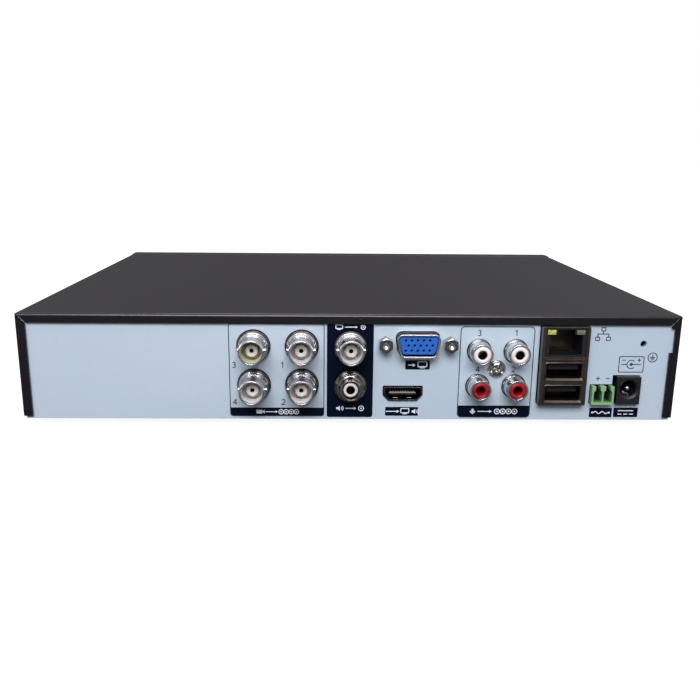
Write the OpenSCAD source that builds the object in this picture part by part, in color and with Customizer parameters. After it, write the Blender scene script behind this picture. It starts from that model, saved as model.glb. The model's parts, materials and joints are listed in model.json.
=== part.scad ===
// Four-channel video recorder: a folded steel case that holds a main board, its rear
// connectors and a hard disk, behind a moulded front.
//
// Row frame: +X to the right seen from the front, +Y towards the rear connectors, +Z up,
// with the origin under the middle of the recorder, on the surface that it stands on.
// The modules draw in a case frame: its origin is on the rear panel's outer face, in the
// middle of the width, at the underside of the case. Case -Y runs into the recorder.

/* [Case] */
// Width over the cover
case_w = 255; // [254:1:270]
// Depth from the front's face to the rear panel
case_d = 210; // [209:1:230]
// Height of the case without its feet
case_h = 42; // [41.5:0.5:46]
// Thickness of the sheet steel
sheet_t = 0.8; // [0.6:0.1:1]
// Depth of the moulded front
bezel_d = 12; // [11:0.5:14]
// Height of the feet
foot_h = 3; // [2.5:0.5:6]

/* [Cover] */
// Depth of the lip along the top of the rear panel
top_lip = 3.8; // [3:0.1:4]
// Width of the lips down the sides of the rear panel
side_lip = 3.9; // [3.2:0.1:4.4]
// Number of vent slots in each side
vent_count = 12; // [4:1:14]

/* [Rear connectors] */
// Reach of the coaxial jacks past the rear panel
jack_reach = 12.5; // [11.5:0.5:14]
// Reach of the phono jacks past the rear panel
phono_reach = 7.8; // [7:0.1:9]
// Spacing of the video inputs across the panel
jack_pitch_x = 18.6; // [17:0.1:20]
// Spacing of the jack rows up the panel
jack_pitch_z = 15.4; // [15:0.1:15.6]
// Spacing of the phono jacks across the panel
phono_pitch_x = 14.2; // [13.5:0.1:14.5]
// Spacing of the phono jacks up the panel
phono_pitch_z = 14; // [13.5:0.1:14.5]
// Spacing of the two screws beside the monitor port
jackscrew_pitch = 24.99; // [24.9:0.01:25.1]

/* [Hard disk] */
// Diameter of the disk platter
platter_d = 95; // [90:1:95]
// Thickness of the disk platter
platter_t = 1.3; // [0.8:0.1:1.8]
// Length of the head arm from its pivot
arm_length = 48; // [46:0.5:48]

/* [Hidden] */
$fn = 48;

// Case
fit_gap = 0.3;                              // between the cover and the chassis
cut = 1;                                    // how far a cutter runs past a face
overall_d = case_d + jack_reach;
rear_y = overall_d / 2 - jack_reach;        // the rear panel's outer face, in the row frame
tray_w = case_w - 2 * (sheet_t + fit_gap);
tray_d = case_d - bezel_d;
flange_h = 15;
panel_top = case_h - sheet_t - 0.6;
skirt_z = 1.2;                              // lower edge of the cover's sides
cover_rear = fit_gap + sheet_t;             // outer face of the cover's lips
fold_r = 1.3;                               // outer radius of the cover's folds
mitre_gap = 0.6;                            // slit between the cover's top lip and its side lips
press_mark_x = -3.9;
lip_relief_z = [27.4, 37];                  // cut-back in the side lip beside the earth screw
lip_relief_w = 1.3;
wall_x = tray_w / 2;
cover_screw_y = [-38, -160];
cover_screw_z = 9;
foot_x = 105;
foot_y = [-26, -174];
foot_r = 9;
foot_stem_r = 2.45;
m3_r = 1.45;                                // an M3 thread, drawn plain
tapped_r = 1.48;
self_tap_r = 0.88;                          // the small screws in the moulded front
earth_collar_l = 2.6;                       // length of the earth screw's thread
vent_w = 2.6;
side_vent_pitch = 6.5;
side_vent_h = 20;

// Moulded front, and the small board behind its window
bezel_wall = 2.2;
lens_size = [74, 15];
lens_z = 21;
led_x = [-8, 0, 8];
front_screw_x = [-112, -10, 60, 112];
front_screw_z = 21;
front_board_x = -62;
front_board_y = -case_d + 8.4;              // face of the board that carries the lights
front_board_t = 1.6;
front_board_hole_x = 33;                    // from the board's middle to its two screws
front_board_hole_z = 13;

// Main board
board_z = 5.3;
board_t = 1.6;
deck_z = board_z + board_t;                 // the face that the parts stand on
board_x = [-119, 52];
board_y = [-88, -1.6];
board_holes = [[-114, -84], [-114, -28], [-30, -84], [47, -84], [47, -20]];
block_y = -1.2;                             // front face of the connector housings
block_d = 12;

// Rear connectors, as places across and up the panel
jack_z = 29.2;                                // upper row of the coaxial jacks
video_in_x = 28.1;
av_out_x = 0;
phono_x = -56.9;
phono_z = 20.7;
display_x = -25.9;
vga_z = 30.6;
vga_reach = 5;
hd_out_x = -20.6;
hd_out_z = 10.5;
stack_x = -82.4;
stack_w = 18.2;
stack_z = [deck_z, 37.9];
usb_z = [20.6, 11.7];
usb_w = 13.4;
usb_h = 5.6;
rj_w = 12.6;
rj_z = [27, 34.8];
notch_w = 6.4;                              // for the latch of the network plug
notch_top = 36.8;
serial_x = -98.55;
serial_w = 8.7;
serial_h = 7.4;
dc_x = -108.7;
dc_z = 13.1;
dc_w = 9.2;
dc_h = 11.1;
earth_hole = [-113.6, 30.7];
jack_r = 6.35;
barrel_r = 4.85;
phono_r = 4.15;
lug_y = jack_reach - 5.5;
insulator_y = jack_reach - 4.5;             // the insulator stops short of the barrel's rim
contact_y = insulator_y - 1.4;              // and the contact inside it stops shorter still

// Hard disk: a 3.5 inch drive across the front left of the case
hdd_size = [147, 101.6, 26.1];
hdd_at = [-25, -193.5, 4.8];
hdd_mid_y = hdd_at.y + hdd_size.y / 2;
hdd_lid_t = 1;
spindle = [hdd_at.x + 96.8, hdd_mid_y];
pivot = [hdd_at.x + 40, hdd_at.y + 30];
hdd_deck_z = hdd_at.z + 9;
platter_z = hdd_at.z + 16;
hdd_hole_x = [hdd_at.x + 41.28, hdd_at.x + 85.73];
hdd_hole_dy = 47.625;
hdd_lid_screws = [
    [hdd_at.x + 17, hdd_at.y + 4], [hdd_at.x + 80, hdd_at.y + 2.2], [hdd_at.x + 143, hdd_at.y + 4],
    [hdd_at.x + 17, hdd_at.y + 97.6], [hdd_at.x + 80, hdd_at.y + 99.4], [hdd_at.x + 143, hdd_at.y + 97.6]
];
tub_r = platter_d / 2 + 1;
tub_top = hdd_at.z + hdd_size.z - hdd_lid_t;
arm_park = 54;                              // angle at the pivot between the parked arm and the spindle
arm_swing = 37;                             // from the ramp to the innermost track
spindle_angle = atan2(spindle.y - pivot.y, spindle.x - pivot.x);
parked_angle = spindle_angle + arm_park;

// Parts on the main board
cpu = [-46, -52];
chip_h = 1.6;
cap_places = [                              // each: x, y, radius, height
    [-104, -60, 5, 13], [-104, -74, 5, 13], [-92, -62, 4, 11], [28, -62, 4, 11], [38, -64, 4, 11],
    [-8, -30, 3.15, 8]
];
cell_at = [4, -60];
cell_r = 10;
buzzer_at = [42, -50];
sata_x = -88;
sata_z = deck_z + 4.2;
power_x = -40;

// Ports of the hard disk, and the middle lines of the cables
plug_x = hdd_at.x;
hdd_port_z = hdd_at.z + 5.5;
data_port_y = hdd_mid_y + 25;
power_port_y = hdd_mid_y + 2;
wire_r = 0.85;
data_route = [
    [plug_x - 16, data_port_y, hdd_port_z], [plug_x - 24, data_port_y, hdd_port_z], [-65, -117, 7.5],
    [-81, -111, 9.5], [sata_x, -103, sata_z], [sata_x, -96, sata_z]
];
front_route = [
    [-62, -190, 17.6], [-62, -178, 17.6], [-59, -160, 12], [-55, -142, 10], [-57, -124, 18],
    [-61, -108, 21], [-62, -97, 16.6], [-62, -91, 16]
];
// The disk's four power wires fan out from its port to the pins of their plug
function power_route(wire) =
    let (y = power_port_y - 9 + 6 * wire, x = power_x - 3.9 + 2.6 * wire)
    [
        [plug_x - 13, y, hdd_port_z], [plug_x - 15, y, hdd_port_z + 0.5], [x - 1, y + 9, 17],
        [x, -104, 15], [x, -96, 10.4], [x, -91, 10.1]
    ];

function unit(v) = v / norm(v);
function arc(c, r, from, to, n = 6) =
    [for (i = [0:n]) let (a = from + (to - from) * i / n) c + r * [cos(a), sin(a)]];

// Outline of a convex polygon with its corners rounded
function rounded(p, r, n = 5) = [
    for (i = [0:len(p) - 1])
        let (
            a = unit(p[(i + len(p) - 1) % len(p)] - p[i]),
            b = unit(p[(i + 1) % len(p)] - p[i]),
            half = acos(a * b) / 2,
            c = p[i] + unit(a + b) * r / sin(half),
            ta = p[i] + a * r / tan(half) - c,
            tb = p[i] + b * r / tan(half) - c,
            from = atan2(ta.y, ta.x),
            sweep = (atan2(tb.y, tb.x) - from + 540) % 360 - 180
        )
        for (k = [0:n]) c + r * [cos(from + sweep * k / n), sin(from + sweep * k / n)]
];
function box_points(w, h) = [[w / 2, h / 2], [-w / 2, h / 2], [-w / 2, -h / 2], [w / 2, -h / 2]];

// Points along a smooth curve through p, with steps to each span
function curve_point(p, t) =
    let (
        i = min(floor(t), len(p) - 2),
        u = t - i,
        a = p[max(i - 1, 0)],
        b = p[i],
        c = p[i + 1],
        d = p[min(i + 2, len(p) - 1)]
    )
    0.5 * (2 * b + (c - a) * u + (2 * a - 5 * b + 4 * c - d) * u * u + (3 * b - a - 3 * c + d) * u * u * u);
function curve(p, steps) = [for (k = [0:steps * (len(p) - 1)]) curve_point(p, k / steps)];

// A flat or round section swept along a path that stays near level
module swept(path, section) {
    n = len(path);
    m = len(section);
    points = [
        for (i = [0:n - 1])
            let (
                along = unit(path[min(i + 1, n - 1)] - path[max(i - 1, 0)]),
                side = unit(cross(along, [0, 0, 1])),
                up = cross(side, along)
            )
            for (s = section) path[i] + s.x * side + s.y * up
    ];
    walls = [
        for (i = [0:n - 2])
            for (k = [0:m - 1])
                let (a = i * m + k, b = i * m + (k + 1) % m)
                for (f = [[a, b, a + m], [b, b + m, a + m]]) f
    ];
    caps = [[for (k = [m - 1:-1:0]) k], [for (k = [0:m - 1]) (n - 1) * m + k]];
    polyhedron(points, concat(walls, caps), convexity = 6);
}

// A box given by its lowest and highest corners
module block(low, high) translate(low) cube(high - low);

// An outline across and up the panel, extruded from one depth to another
module panel_solid(from, to)
    translate([0, to, 0]) rotate([90, 0, 0]) linear_extrude(height = to - from) children();

module rod_y(r, from, to) translate([0, to, 0]) rotate([90, 0, 0]) cylinder(r = r, h = to - from);

module rod_x(r, from, to) translate([from, 0, 0]) rotate([0, 90, 0]) cylinder(r = r, h = to - from);

// A profile of [radius, depth] points turned about an axis square to the panel
module turned(profile) rotate([-90, 0, 0]) rotate_extrude() polygon(profile);

// Places of the jacks across and up the panel: right and left columns, upper and lower rows
function jack_place(column, row) = [video_in_x + (column - 0.5) * jack_pitch_x, jack_z - row * jack_pitch_z];
function av_out_place(row) = [av_out_x, jack_z - row * jack_pitch_z];
function phono_place(column, row) =
    [phono_x + (column - 0.5) * phono_pitch_x, phono_z + (0.5 - row) * phono_pitch_z];

// Moves children from the origin to a place across and up the panel
module at_place(place) translate([place.x, 0, place.y]) children();

// A pan-head screw along +Z: its head stands on z = 0 and its shank runs down
module pan_screw(head_r, head_h, shank_r, shank_l) {
    difference() {
        union() {
            rotate_extrude() polygon(concat(
                [[0, 0], [head_r, 0], [head_r, head_h * 0.45]],
                arc([head_r * 0.62, head_h * 0.45], head_r * 0.38, 0, 80, 4),
                [[0, head_h]]
            ));
            translate([0, 0, -shank_l]) cylinder(r = shank_r, h = shank_l + 0.01);
        }
        for (turn = [0, 90]) rotate(turn)
            block([-head_r * 0.5, -head_r * 0.1, head_h * 0.35], [head_r * 0.5, head_r * 0.1, head_h + cut]);
    }
}

// Slots with round ends, side by side along X or Y, standing on z = 0
module slot_row(count, pitch, length, width, depth) {
    for (i = [0:count - 1]) translate([(i - (count - 1) / 2) * pitch, 0, 0]) {
        block([-width / 2, -length / 2 + width / 2, 0], [width / 2, length / 2 - width / 2, depth]);
        for (end = [-1, 1]) translate([0, end * (length - width) / 2, 0])
            cylinder(r = width / 2, h = depth, $fn = 24);
    }
}

// D-shaped outline of the monitor port, grown by a margin
module vga_outline(margin) {
    w = 16.9 / 2 + margin;
    h = 8.4 / 2 + margin;
    slant = 1.5;
    translate([display_x, vga_z])
        polygon(rounded([[w, h], [-w, h], [-w + slant, -h], [w - slant, -h]], 2 + margin));
}

// Outline of the digital video port, grown by a margin
module hd_out_outline(margin) {
    w = 7.5 + margin;
    h = 2.8 + margin;
    translate([hd_out_x, hd_out_z])
        polygon(rounded([[w, h], [-w, h], [-w, -0.7], [-w + 2.2, -h], [w - 2.2, -h], [w, -0.7]], 0.5));
}

/* ---- Case ---- */

module panel_cutouts() {
    panel_solid(-sheet_t - cut, cut) {
        for (column = [0, 1], row = [0, 1]) {
            translate(jack_place(column, row)) circle(r = jack_r + 0.25);
            translate(phono_place(column, row)) circle(r = 4.8);
        }
        for (row = [0, 1]) translate(av_out_place(row)) circle(r = jack_r + 0.25);
        translate([phono_x, phono_z]) circle(r = 1.7);
        vga_outline(0.6);
        hd_out_outline(0.35);
        for (side = [-1, 1]) translate([display_x + side * jackscrew_pitch / 2, vga_z]) circle(r = 2.1);
        translate([stack_x - stack_w / 2 - 0.3, stack_z[0] - 0.2])
            square([stack_w + 0.6, stack_z[1] - stack_z[0] + 0.4]);
        translate([serial_x - serial_w / 2 - 0.2, deck_z - 0.2]) square([serial_w + 0.4, serial_h + 0.4]);
        translate([dc_x - dc_w / 2 - 0.2, deck_z - 0.2]) square([dc_w + 1.5, dc_h + 0.4]);
        translate(earth_hole) circle(r = 1.3);
    }
}

module chassis() color("lightsteelblue") {
    difference() {
        union() {
            block([-wall_x, -tray_d, 0], [wall_x, 0, sheet_t]);
            block([-wall_x, -sheet_t, 0], [wall_x, 0, panel_top]);
            block([-wall_x, -tray_d, 0], [wall_x, -tray_d + sheet_t, panel_top]);
            block([-wall_x, -tray_d, panel_top - sheet_t], [wall_x, -tray_d + 9, panel_top]);
            for (side = [-1, 1]) scale([side, 1, 1])
                block([wall_x - sheet_t, -tray_d, 0], [wall_x, 0, flange_h]);
            // Formed bosses that carry the hard disk
            for (x = hdd_hole_x, side = [-1, 1]) translate([x, hdd_mid_y + side * hdd_hole_dy, 0])
                cylinder(r1 = 7, r2 = 4.5, h = hdd_at.z);
            // Drawn collar round the earth screw's thread
            at_place(earth_hole) rod_y(2.4, -earth_collar_l, -sheet_t / 2);
        }
        panel_cutouts();
        at_place(earth_hole) rod_y(1.3, -earth_collar_l - cut, cut);
        for (x = hdd_hole_x, side = [-1, 1]) translate([x, hdd_mid_y + side * hdd_hole_dy, -cut]) {
            cylinder(r = 1.9, h = hdd_at.z + 2 * cut);
            cylinder(r1 = 7 - sheet_t + 0.4, r2 = 4.5 - sheet_t, h = hdd_at.z - sheet_t + cut);
        }
        for (x = [-foot_x, foot_x], y = foot_y) translate([x, y, -cut])
            cylinder(r = foot_stem_r + 0.05, h = sheet_t + 2 * cut);
        for (y = cover_screw_y) translate([0, y, cover_screw_z]) {
            rod_x(tapped_r, -wall_x - cut, -wall_x + sheet_t + cut);
            rod_x(tapped_r, wall_x - sheet_t - cut, wall_x + cut);
        }
        // Way through for the front board's cable, and the screws that hold the moulded front
        block([front_board_x - 16, -tray_d - cut, 14], [front_board_x + 16, -tray_d + sheet_t + cut, 30]);
        for (x = front_screw_x)
            at_place([x, front_screw_z]) rod_y(m3_r + 0.1, -tray_d - cut, -tray_d + sheet_t + cut);
        // Air slots in the floor, under the board and under the disk
        for (x = [-90, -10]) translate([x, -52, -cut]) slot_row(9, 6, 26, vent_w, sheet_t + 2 * cut);
        translate([spindle.x, hdd_mid_y, -cut]) slot_row(7, 8, 40, 3, sheet_t + 2 * cut);
    }
}

// The cover's outer or inner form: a box with its folds rounded, open to the front and below
module cover_form(inset, radius, front) {
    outer = case_w / 2 - inset;
    rear = cover_rear - inset;
    top = case_h - inset;
    intersection() {
        translate([0, rear, 0]) rotate([90, 0, 0]) linear_extrude(height = rear - front) polygon(concat(
            arc([outer - radius, top - radius], radius, 0, 90),
            arc([-outer + radius, top - radius], radius, 90, 180),
            [[-outer, skirt_z - inset], [outer, skirt_z - inset]]
        ));
        linear_extrude(height = top) polygon(concat(
            arc([outer - radius, rear - radius], radius, 0, 90),
            arc([-outer + radius, rear - radius], radius, 90, 180), [[-outer, front], [outer, front]]
        ));
        translate([-outer, 0, 0]) rotate([90, 0, 90]) linear_extrude(height = 2 * outer) polygon(concat(
            arc([rear - radius, top - radius], radius, 0, 90), [[front, top], [front, 0], [rear, 0]]
        ));
    }
}

module top_cover() color("#2b2a2d") {
    outer = case_w / 2;
    front = -tray_d + fit_gap;
    window = outer - side_lip;
    difference() {
        cover_form(0, fold_r, front);
        cover_form(sheet_t, fold_r - sheet_t, front - cut);
        block([-window, 0, -cut], [window, cover_rear + cut, case_h - top_lip]);
        // The mitres where the top lip meets the side lips
        for (side = [-1, 1]) scale([side, 1, 1])
            translate([window, 0, case_h - top_lip]) rotate([0, -45, 0])
                block([-cut, 0, -mitre_gap / 2], [side_lip * 1.05, cover_rear + cut, mitre_gap / 2]);
        block([-window - lip_relief_w, 0, lip_relief_z[0]],
              [-window + cut, cover_rear + cut, lip_relief_z[1]]);
        // A press mark under the rear fold
        translate([press_mark_x, cover_rear + 0.15, case_h - 1.5]) sphere(r = 0.5);
        // Open-ended slots: the cover lifts off once its screws are loosened
        for (side = [-1, 1], y = cover_screw_y) scale([side, 1, 1]) {
            translate([0, y, cover_screw_z]) rod_x(m3_r + 0.25, outer - sheet_t - cut, outer + cut);
            block([outer - sheet_t - cut, y - m3_r - 0.25, skirt_z - cut],
                  [outer + cut, y + m3_r + 0.25, cover_screw_z]);
        }
        // Air slots in both sides
        for (side = [-1, 1]) translate([side * (outer - sheet_t - cut), -100, 27]) rotate([90, 0, 90 * side])
            slot_row(vent_count, side_vent_pitch, side_vent_h, vent_w, sheet_t + 2 * cut);
    }
}

module cover_screws() color("#3c3c40") {
    for (side = [-1, 1], y = cover_screw_y) scale([side, 1, 1])
        translate([case_w / 2 + 0.15, y, cover_screw_z]) rotate([0, 90, 0]) pan_screw(2.9, 1.9, m3_r, 4.5);
}

module rubber_feet() color("#1c1c1c") {
    for (x = [-foot_x, foot_x], y = foot_y) translate([x, y, 0]) rotate_extrude() polygon([
        [0, -foot_h + 0.6], [foot_r - 4, -foot_h + 0.6], [foot_r - 3.6, -foot_h], [foot_r - 1, -foot_h],
        [foot_r - 0.4, -foot_h + 0.8], [foot_r, 0], [foot_stem_r, 0], [foot_stem_r, sheet_t + 0.05],
        [foot_stem_r + 0.85, sheet_t + 0.1], [foot_stem_r - 0.25, sheet_t + 2.4], [0, sheet_t + 2.4]
    ]);
}

/* ---- Moulded front ---- */

module at_front_board_screws() for (side = [-1, 1])
    at_place([front_board_x + side * front_board_hole_x, front_board_hole_z]) children();

module front_bezel() color("#161618") {
    w = case_w / 2;
    wall = bezel_wall;
    face = -case_d;
    difference() {
        union() {
            difference() {
                linear_extrude(height = case_h) polygon(concat(
                    arc([w - 3, face + 3], 3, 270, 360),
                    [[w, -tray_d], [-w, -tray_d]],
                    arc([-w + 3, face + 3], 3, 180, 270)
                ));
                block([-w + wall, face + wall, wall], [w - wall, -tray_d + cut, case_h - wall]);
            }
            for (x = front_screw_x) at_place([x, front_screw_z]) rod_y(3.2, face + wall / 2, -tray_d);
            at_front_board_screws() rod_y(2.4, face + wall / 2, front_board_y);
        }
        for (x = front_screw_x) at_place([x, front_screw_z]) rod_y(tapped_r, -tray_d - 7, -tray_d + cut);
        at_front_board_screws() rod_y(self_tap_r + 0.02, face + 3, front_board_y + cut);
        // Seat and window for the lens
        block([front_board_x - lens_size.x / 2, face - cut, lens_z - lens_size.y / 2],
              [front_board_x + lens_size.x / 2, face + 1.2, lens_z + lens_size.y / 2]);
        block([front_board_x - lens_size.x / 2 + 2, face, lens_z - lens_size.y / 2 + 2],
              [front_board_x + lens_size.x / 2 - 2, face + wall + cut, lens_z + lens_size.y / 2 - 2]);
        // A shadow groove across the face, and bevels along its long edges
        block([-front_board_x - 55, face - cut, 20.4], [w + cut, face + 0.8, 21.6]);
        for (z = [0, case_h])
            translate([0, face, z]) rotate([45, 0, 0]) cube([case_w + 2 * cut, 2, 2], center = true);
    }
}

module window_lens() color("#2a0d10") {
    x = front_board_x;
    w = lens_size.x / 2 - 0.1;
    h = lens_size.y / 2 - 0.1;
    difference() {
        block([x - w, -case_d + 0.1, lens_z - h], [x + w, -case_d + 1.2, lens_z + h]);
        for (dx = led_x) translate([x + dx, 0, lens_z]) rod_y(1.55, -case_d - cut, -case_d + 1.2 + cut);
    }
}

module light_guides() color("white") {
    for (dx = led_x) translate([front_board_x + dx, 0, lens_z])
        turned([
            [0, -case_d + 0.05], [1.2, -case_d + 0.05], [1.5, -case_d + 0.35], [1.5, -case_d + 3.4],
            [2, -case_d + 3.4], [2, -case_d + 5.2], [0, -case_d + 5.2]
        ]);
}

module front_board() color("#1c5a34") {
    difference() {
        block([front_board_x - 38, front_board_y, 9],
              [front_board_x + 38, front_board_y + front_board_t, 33]);
        at_front_board_screws() rod_y(1.3, front_board_y - cut, front_board_y + front_board_t + cut);
    }
}

module front_leds() color("#e8e8d8") {
    for (dx = led_x) translate([front_board_x + dx, 0, lens_z])
        turned([
            [0, front_board_y - 3], [1.2, front_board_y - 2.8], [1.5, front_board_y - 2.2],
            [1.5, front_board_y], [0, front_board_y]
        ]);
}

module ir_receiver() color("#201c1c") {
    x = front_board_x - 24;
    face = front_board_y - 3;
    block([x - 3.4, face, lens_z - 3.6], [x + 3.4, front_board_y, lens_z + 3.6]);
    at_place([x, lens_z]) turned([for (a = [0:15:90]) [2.8 * cos(a), face - 2.2 * sin(a)], [0, face + 0.6]]);
}

module front_cable() color("#b9b9b4") {
    z = front_route[0].z;
    swept(curve(front_route, 3), box_points(10, 1.1));
    block([front_board_x - 6, front_board_y + front_board_t, z - 2.6], [front_board_x + 6, -190, z + 2.6]);
    block([front_board_x - 6, -91, 13.4], [front_board_x + 6, -83.2, 18.6]);
}

/* ---- Main board ---- */

module m3_screws() color("silver") {
    for (p = board_holes) translate([p.x, p.y, deck_z]) pan_screw(2.8, 1.9, m3_r, 5);
    for (x = front_screw_x) translate([x, -tray_d + sheet_t, front_screw_z])
        rotate([-90, 0, 0]) pan_screw(2.8, 1.9, m3_r, 6);
    at_front_board_screws() translate([0, front_board_y + front_board_t, 0])
        rotate([-90, 0, 0]) pan_screw(1.9, 1.3, self_tap_r, 5);
}

module standoffs() color("gold") {
    for (p = board_holes) translate([p.x, p.y, sheet_t]) difference() {
        cylinder(d = 6.2, h = board_z - sheet_t, $fn = 6);
        translate([0, 0, 0.6]) cylinder(r = tapped_r, h = board_z);
    }
}

module main_board() color("#1f6b3c") {
    difference() {
        block([board_x[0], board_y[0], board_z], [board_x[1], board_y[1], deck_z]);
        for (p = board_holes) translate([p.x, p.y, board_z - cut]) cylinder(r = 1.6, h = board_t + 2 * cut);
    }
}

module chips() color("#1b1b1d") {
    block([cpu.x - 12, cpu.y - 12, deck_z], [cpu.x + 12, cpu.y + 12, deck_z + chip_h]);
    // Memory beside the processor, decoders behind the video inputs, the network chip and its transformer
    for (y = [cpu.y - 9, cpu.y + 9]) translate([cpu.x + 30, y, deck_z]) block([-7, -4.5, 0], [7, 4.5, 1.1]);
    for (x = [18, 36]) translate([x, -36, deck_z]) block([-6, -6, 0], [6, 6, 1.2]);
    block([-96, -44, deck_z], [-86, -34, deck_z + 1.1]);
    block([-84, -33, deck_z], [-68, -26, deck_z + 5.6]);
    for (p = [[2, -80], [-78, -74]]) translate([p.x, p.y, deck_z]) block([-3, -2.5, 0], [3, 2.5, chip_h]);
}

module heatsink() color("#30343a") {
    side = 36;
    base_z = deck_z + chip_h;
    fin = 1.6;
    count = 8;
    union() {
        block([cpu.x - side / 2, cpu.y - side / 2, base_z],
              [cpu.x + side / 2, cpu.y + side / 2, base_z + 2.4]);
        for (i = [0:count - 1]) {
            x = cpu.x - side / 2 + i * (side - fin) / (count - 1);
            block([x, cpu.y - side / 2, base_z], [x + fin, cpu.y + side / 2, base_z + 13]);
        }
    }
}

module capacitors() color("#20263c") {
    for (c = cap_places) translate([c[0], c[1], deck_z]) rotate_extrude() polygon([
        [0, 0], [c[2], 0], [c[2], 1], [c[2] - 0.35, 1.4], [c[2], 1.8], [c[2], c[3] - 0.6], [c[2] - 0.5, c[3]],
        [c[2] - 1, c[3]], [c[2] - 1.2, c[3] - 0.25], [0, c[3] - 0.25]
    ]);
}

module surface_parts() color("#4a4642") {
    // Coils, crystals and rows of small surface parts
    for (p = [[-112, -48], [-82, -66], [14, -78]]) translate([p.x, p.y, deck_z])
        block([-3.6, -3.6, 0], [3.6, 3.6, 4]);
    for (p = [[-22, -76], [-100, -28]]) translate([p.x, p.y, deck_z])
        block([-5.5, -2.2, 0], [5.5, 2.2, 3.4]);
    for (i = [0:9]) translate([-20 + i * 3.2, -36.5, deck_z]) block([-0.6, -1, 0], [0.6, 1, 0.7]);
    for (i = [0:7]) translate([14 + i * 4, -26, deck_z]) block([-0.7, -1.1, 0], [0.7, 1.1, 0.8]);
    for (i = [0:6]) translate([-72, -60 + i * 3, deck_z]) block([-1, -0.6, 0], [1, 0.6, 0.7]);
}

module coin_cell_holder() color("#17171a") {
    translate([cell_at.x, cell_at.y, deck_z]) difference() {
        cylinder(r = cell_r + 1.6, h = 4.6);
        translate([0, 0, 0.8]) cylinder(r = cell_r + 0.15, h = 5);
        block([-13, -6, 2.2], [13, 6, 6]);
    }
}

module coin_cell() color("silver") {
    translate([cell_at.x, cell_at.y, deck_z + 0.85]) rotate_extrude()
        polygon([
            [0, 0], [cell_r - 1.4, 0], [cell_r - 1, 0.35], [cell_r, 0.8], [cell_r, 2.9], [cell_r - 0.3, 3.2],
            [0, 3.2]
        ]);
}

module buzzer() color("#141416") {
    translate([buzzer_at.x, buzzer_at.y, deck_z]) difference() {
        rotate_extrude() polygon([[0, 0], [6, 0], [6, 8], [5.5, 8.5], [0, 8.5]]);
        translate([0, 0, 4]) cylinder(r = 1.1, h = 6);
    }
}

module board_sockets() color("#d8d6cc") {
    // Data socket, open to the front of the case
    difference() {
        block([sata_x - 8, -86, deck_z], [sata_x + 8, -78.4, deck_z + 7.6]);
        block([sata_x - 5.4, -86 - cut, sata_z - 1.4], [sata_x + 5.4, -80, sata_z + 1.4]);
    }
    // Disk power header and front board header
    difference() {
        block([power_x - 6.4, -86, deck_z], [power_x + 6.4, -80.6, deck_z + 6.4]);
        block([power_x - 5.6, -86 - cut, deck_z + 1], [power_x + 5.6, -81.6, deck_z + 5.4]);
    }
    difference() {
        block([front_board_x - 7.4, -87, deck_z], [front_board_x + 7.4, -82.2, deck_z + 12.6]);
        block([front_board_x - 6.2, -87 - cut, 13.2], [front_board_x + 6.2, -83.2, 18.8]);
    }
}

/* ---- Disk cables ---- */

module sata_data_cable() color("#8c1d1d") {
    swept(curve(data_route, 3), rounded(box_points(7.4, 1.8), 0.7, 2));
    block([plug_x - 16, data_port_y - 6.4, hdd_port_z - 2.4], [plug_x, data_port_y + 6.4, hdd_port_z + 2.4]);
    block([sata_x - 6.4, -96, sata_z - 2.4], [sata_x + 6.4, -86, sata_z + 2.4]);
}

module hdd_power_cable() color("#c8a020") {
    for (wire = [0:3]) swept(curve(power_route(wire), 2), arc([0, 0], wire_r, 0, 315, 7));
    block([plug_x - 13, power_port_y - 11.6, hdd_port_z - 2.6],
          [plug_x, power_port_y + 11.6, hdd_port_z + 2.6]);
    block([power_x - 5.4, -91, deck_z + 1.2], [power_x + 5.4, -81.8, deck_z + 5.2]);
}

/* ---- Coaxial and phono jacks ---- */

module jack_housing(low_x, high_x) block([low_x, block_y - block_d, deck_z], [high_x, block_y, 37.8]);

module video_in_housing() color("#18181a") jack_housing(video_in_x - 17, video_in_x + 17);

module av_out_housing() color("#18181a") jack_housing(av_out_x - 8.6, av_out_x + 8.6);

// The round foot that both kinds of single jack have, up to where the barrel starts
jack_foot = [[jack_r, block_y], [jack_r, 2.6], [jack_r - 0.35, 3], [5.6, 3], [5.6, 4.2], [5.2, 4.6]];

module bnc_shell() color("silver") {
    turned(concat([[2.5, block_y]], jack_foot, [
        [barrel_r, 4.6], [barrel_r, jack_reach - 0.4], [barrel_r - 0.3, jack_reach], [4.25, jack_reach],
        [4.05, jack_reach - 0.3], [4.05, 4.4], [2.5, 4.4]
    ]));
    // Bayonet lugs
    for (side = [-1, 1]) scale([side, 1, 1])
        translate([0, lug_y, 0]) rod_x(0.95, barrel_r - 0.3, barrel_r + 0.75);
}

module bnc_shell_1() at_place(jack_place(0, 0)) bnc_shell();
module bnc_shell_2() at_place(jack_place(0, 1)) bnc_shell();
module bnc_shell_3() at_place(jack_place(1, 0)) bnc_shell();
module bnc_shell_4() at_place(jack_place(1, 1)) bnc_shell();
module bnc_shell_out() at_place(av_out_place(0)) bnc_shell();

module phono_shell_out() at_place(av_out_place(1)) color("silver")
    turned(concat([[2.8, block_y]], jack_foot, [
        [phono_r, 4.6], [phono_r, phono_reach], [phono_r - 0.25, phono_reach + 0.3], [3.6, phono_reach + 0.3],
        [3.6, 4.4], [2.8, 4.4]
    ]));

module bnc_insulator() turned([
    [0.8, block_y], [2.45, block_y], [2.45, insulator_y - 0.25], [2.2, insulator_y], [0.8, insulator_y]
]);

module bnc_contact() turned([
    [0, block_y], [0.76, block_y], [0.76, contact_y], [0.45, contact_y], [0.45, contact_y - 3.6],
    [0, contact_y - 3.6]
]);

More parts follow.
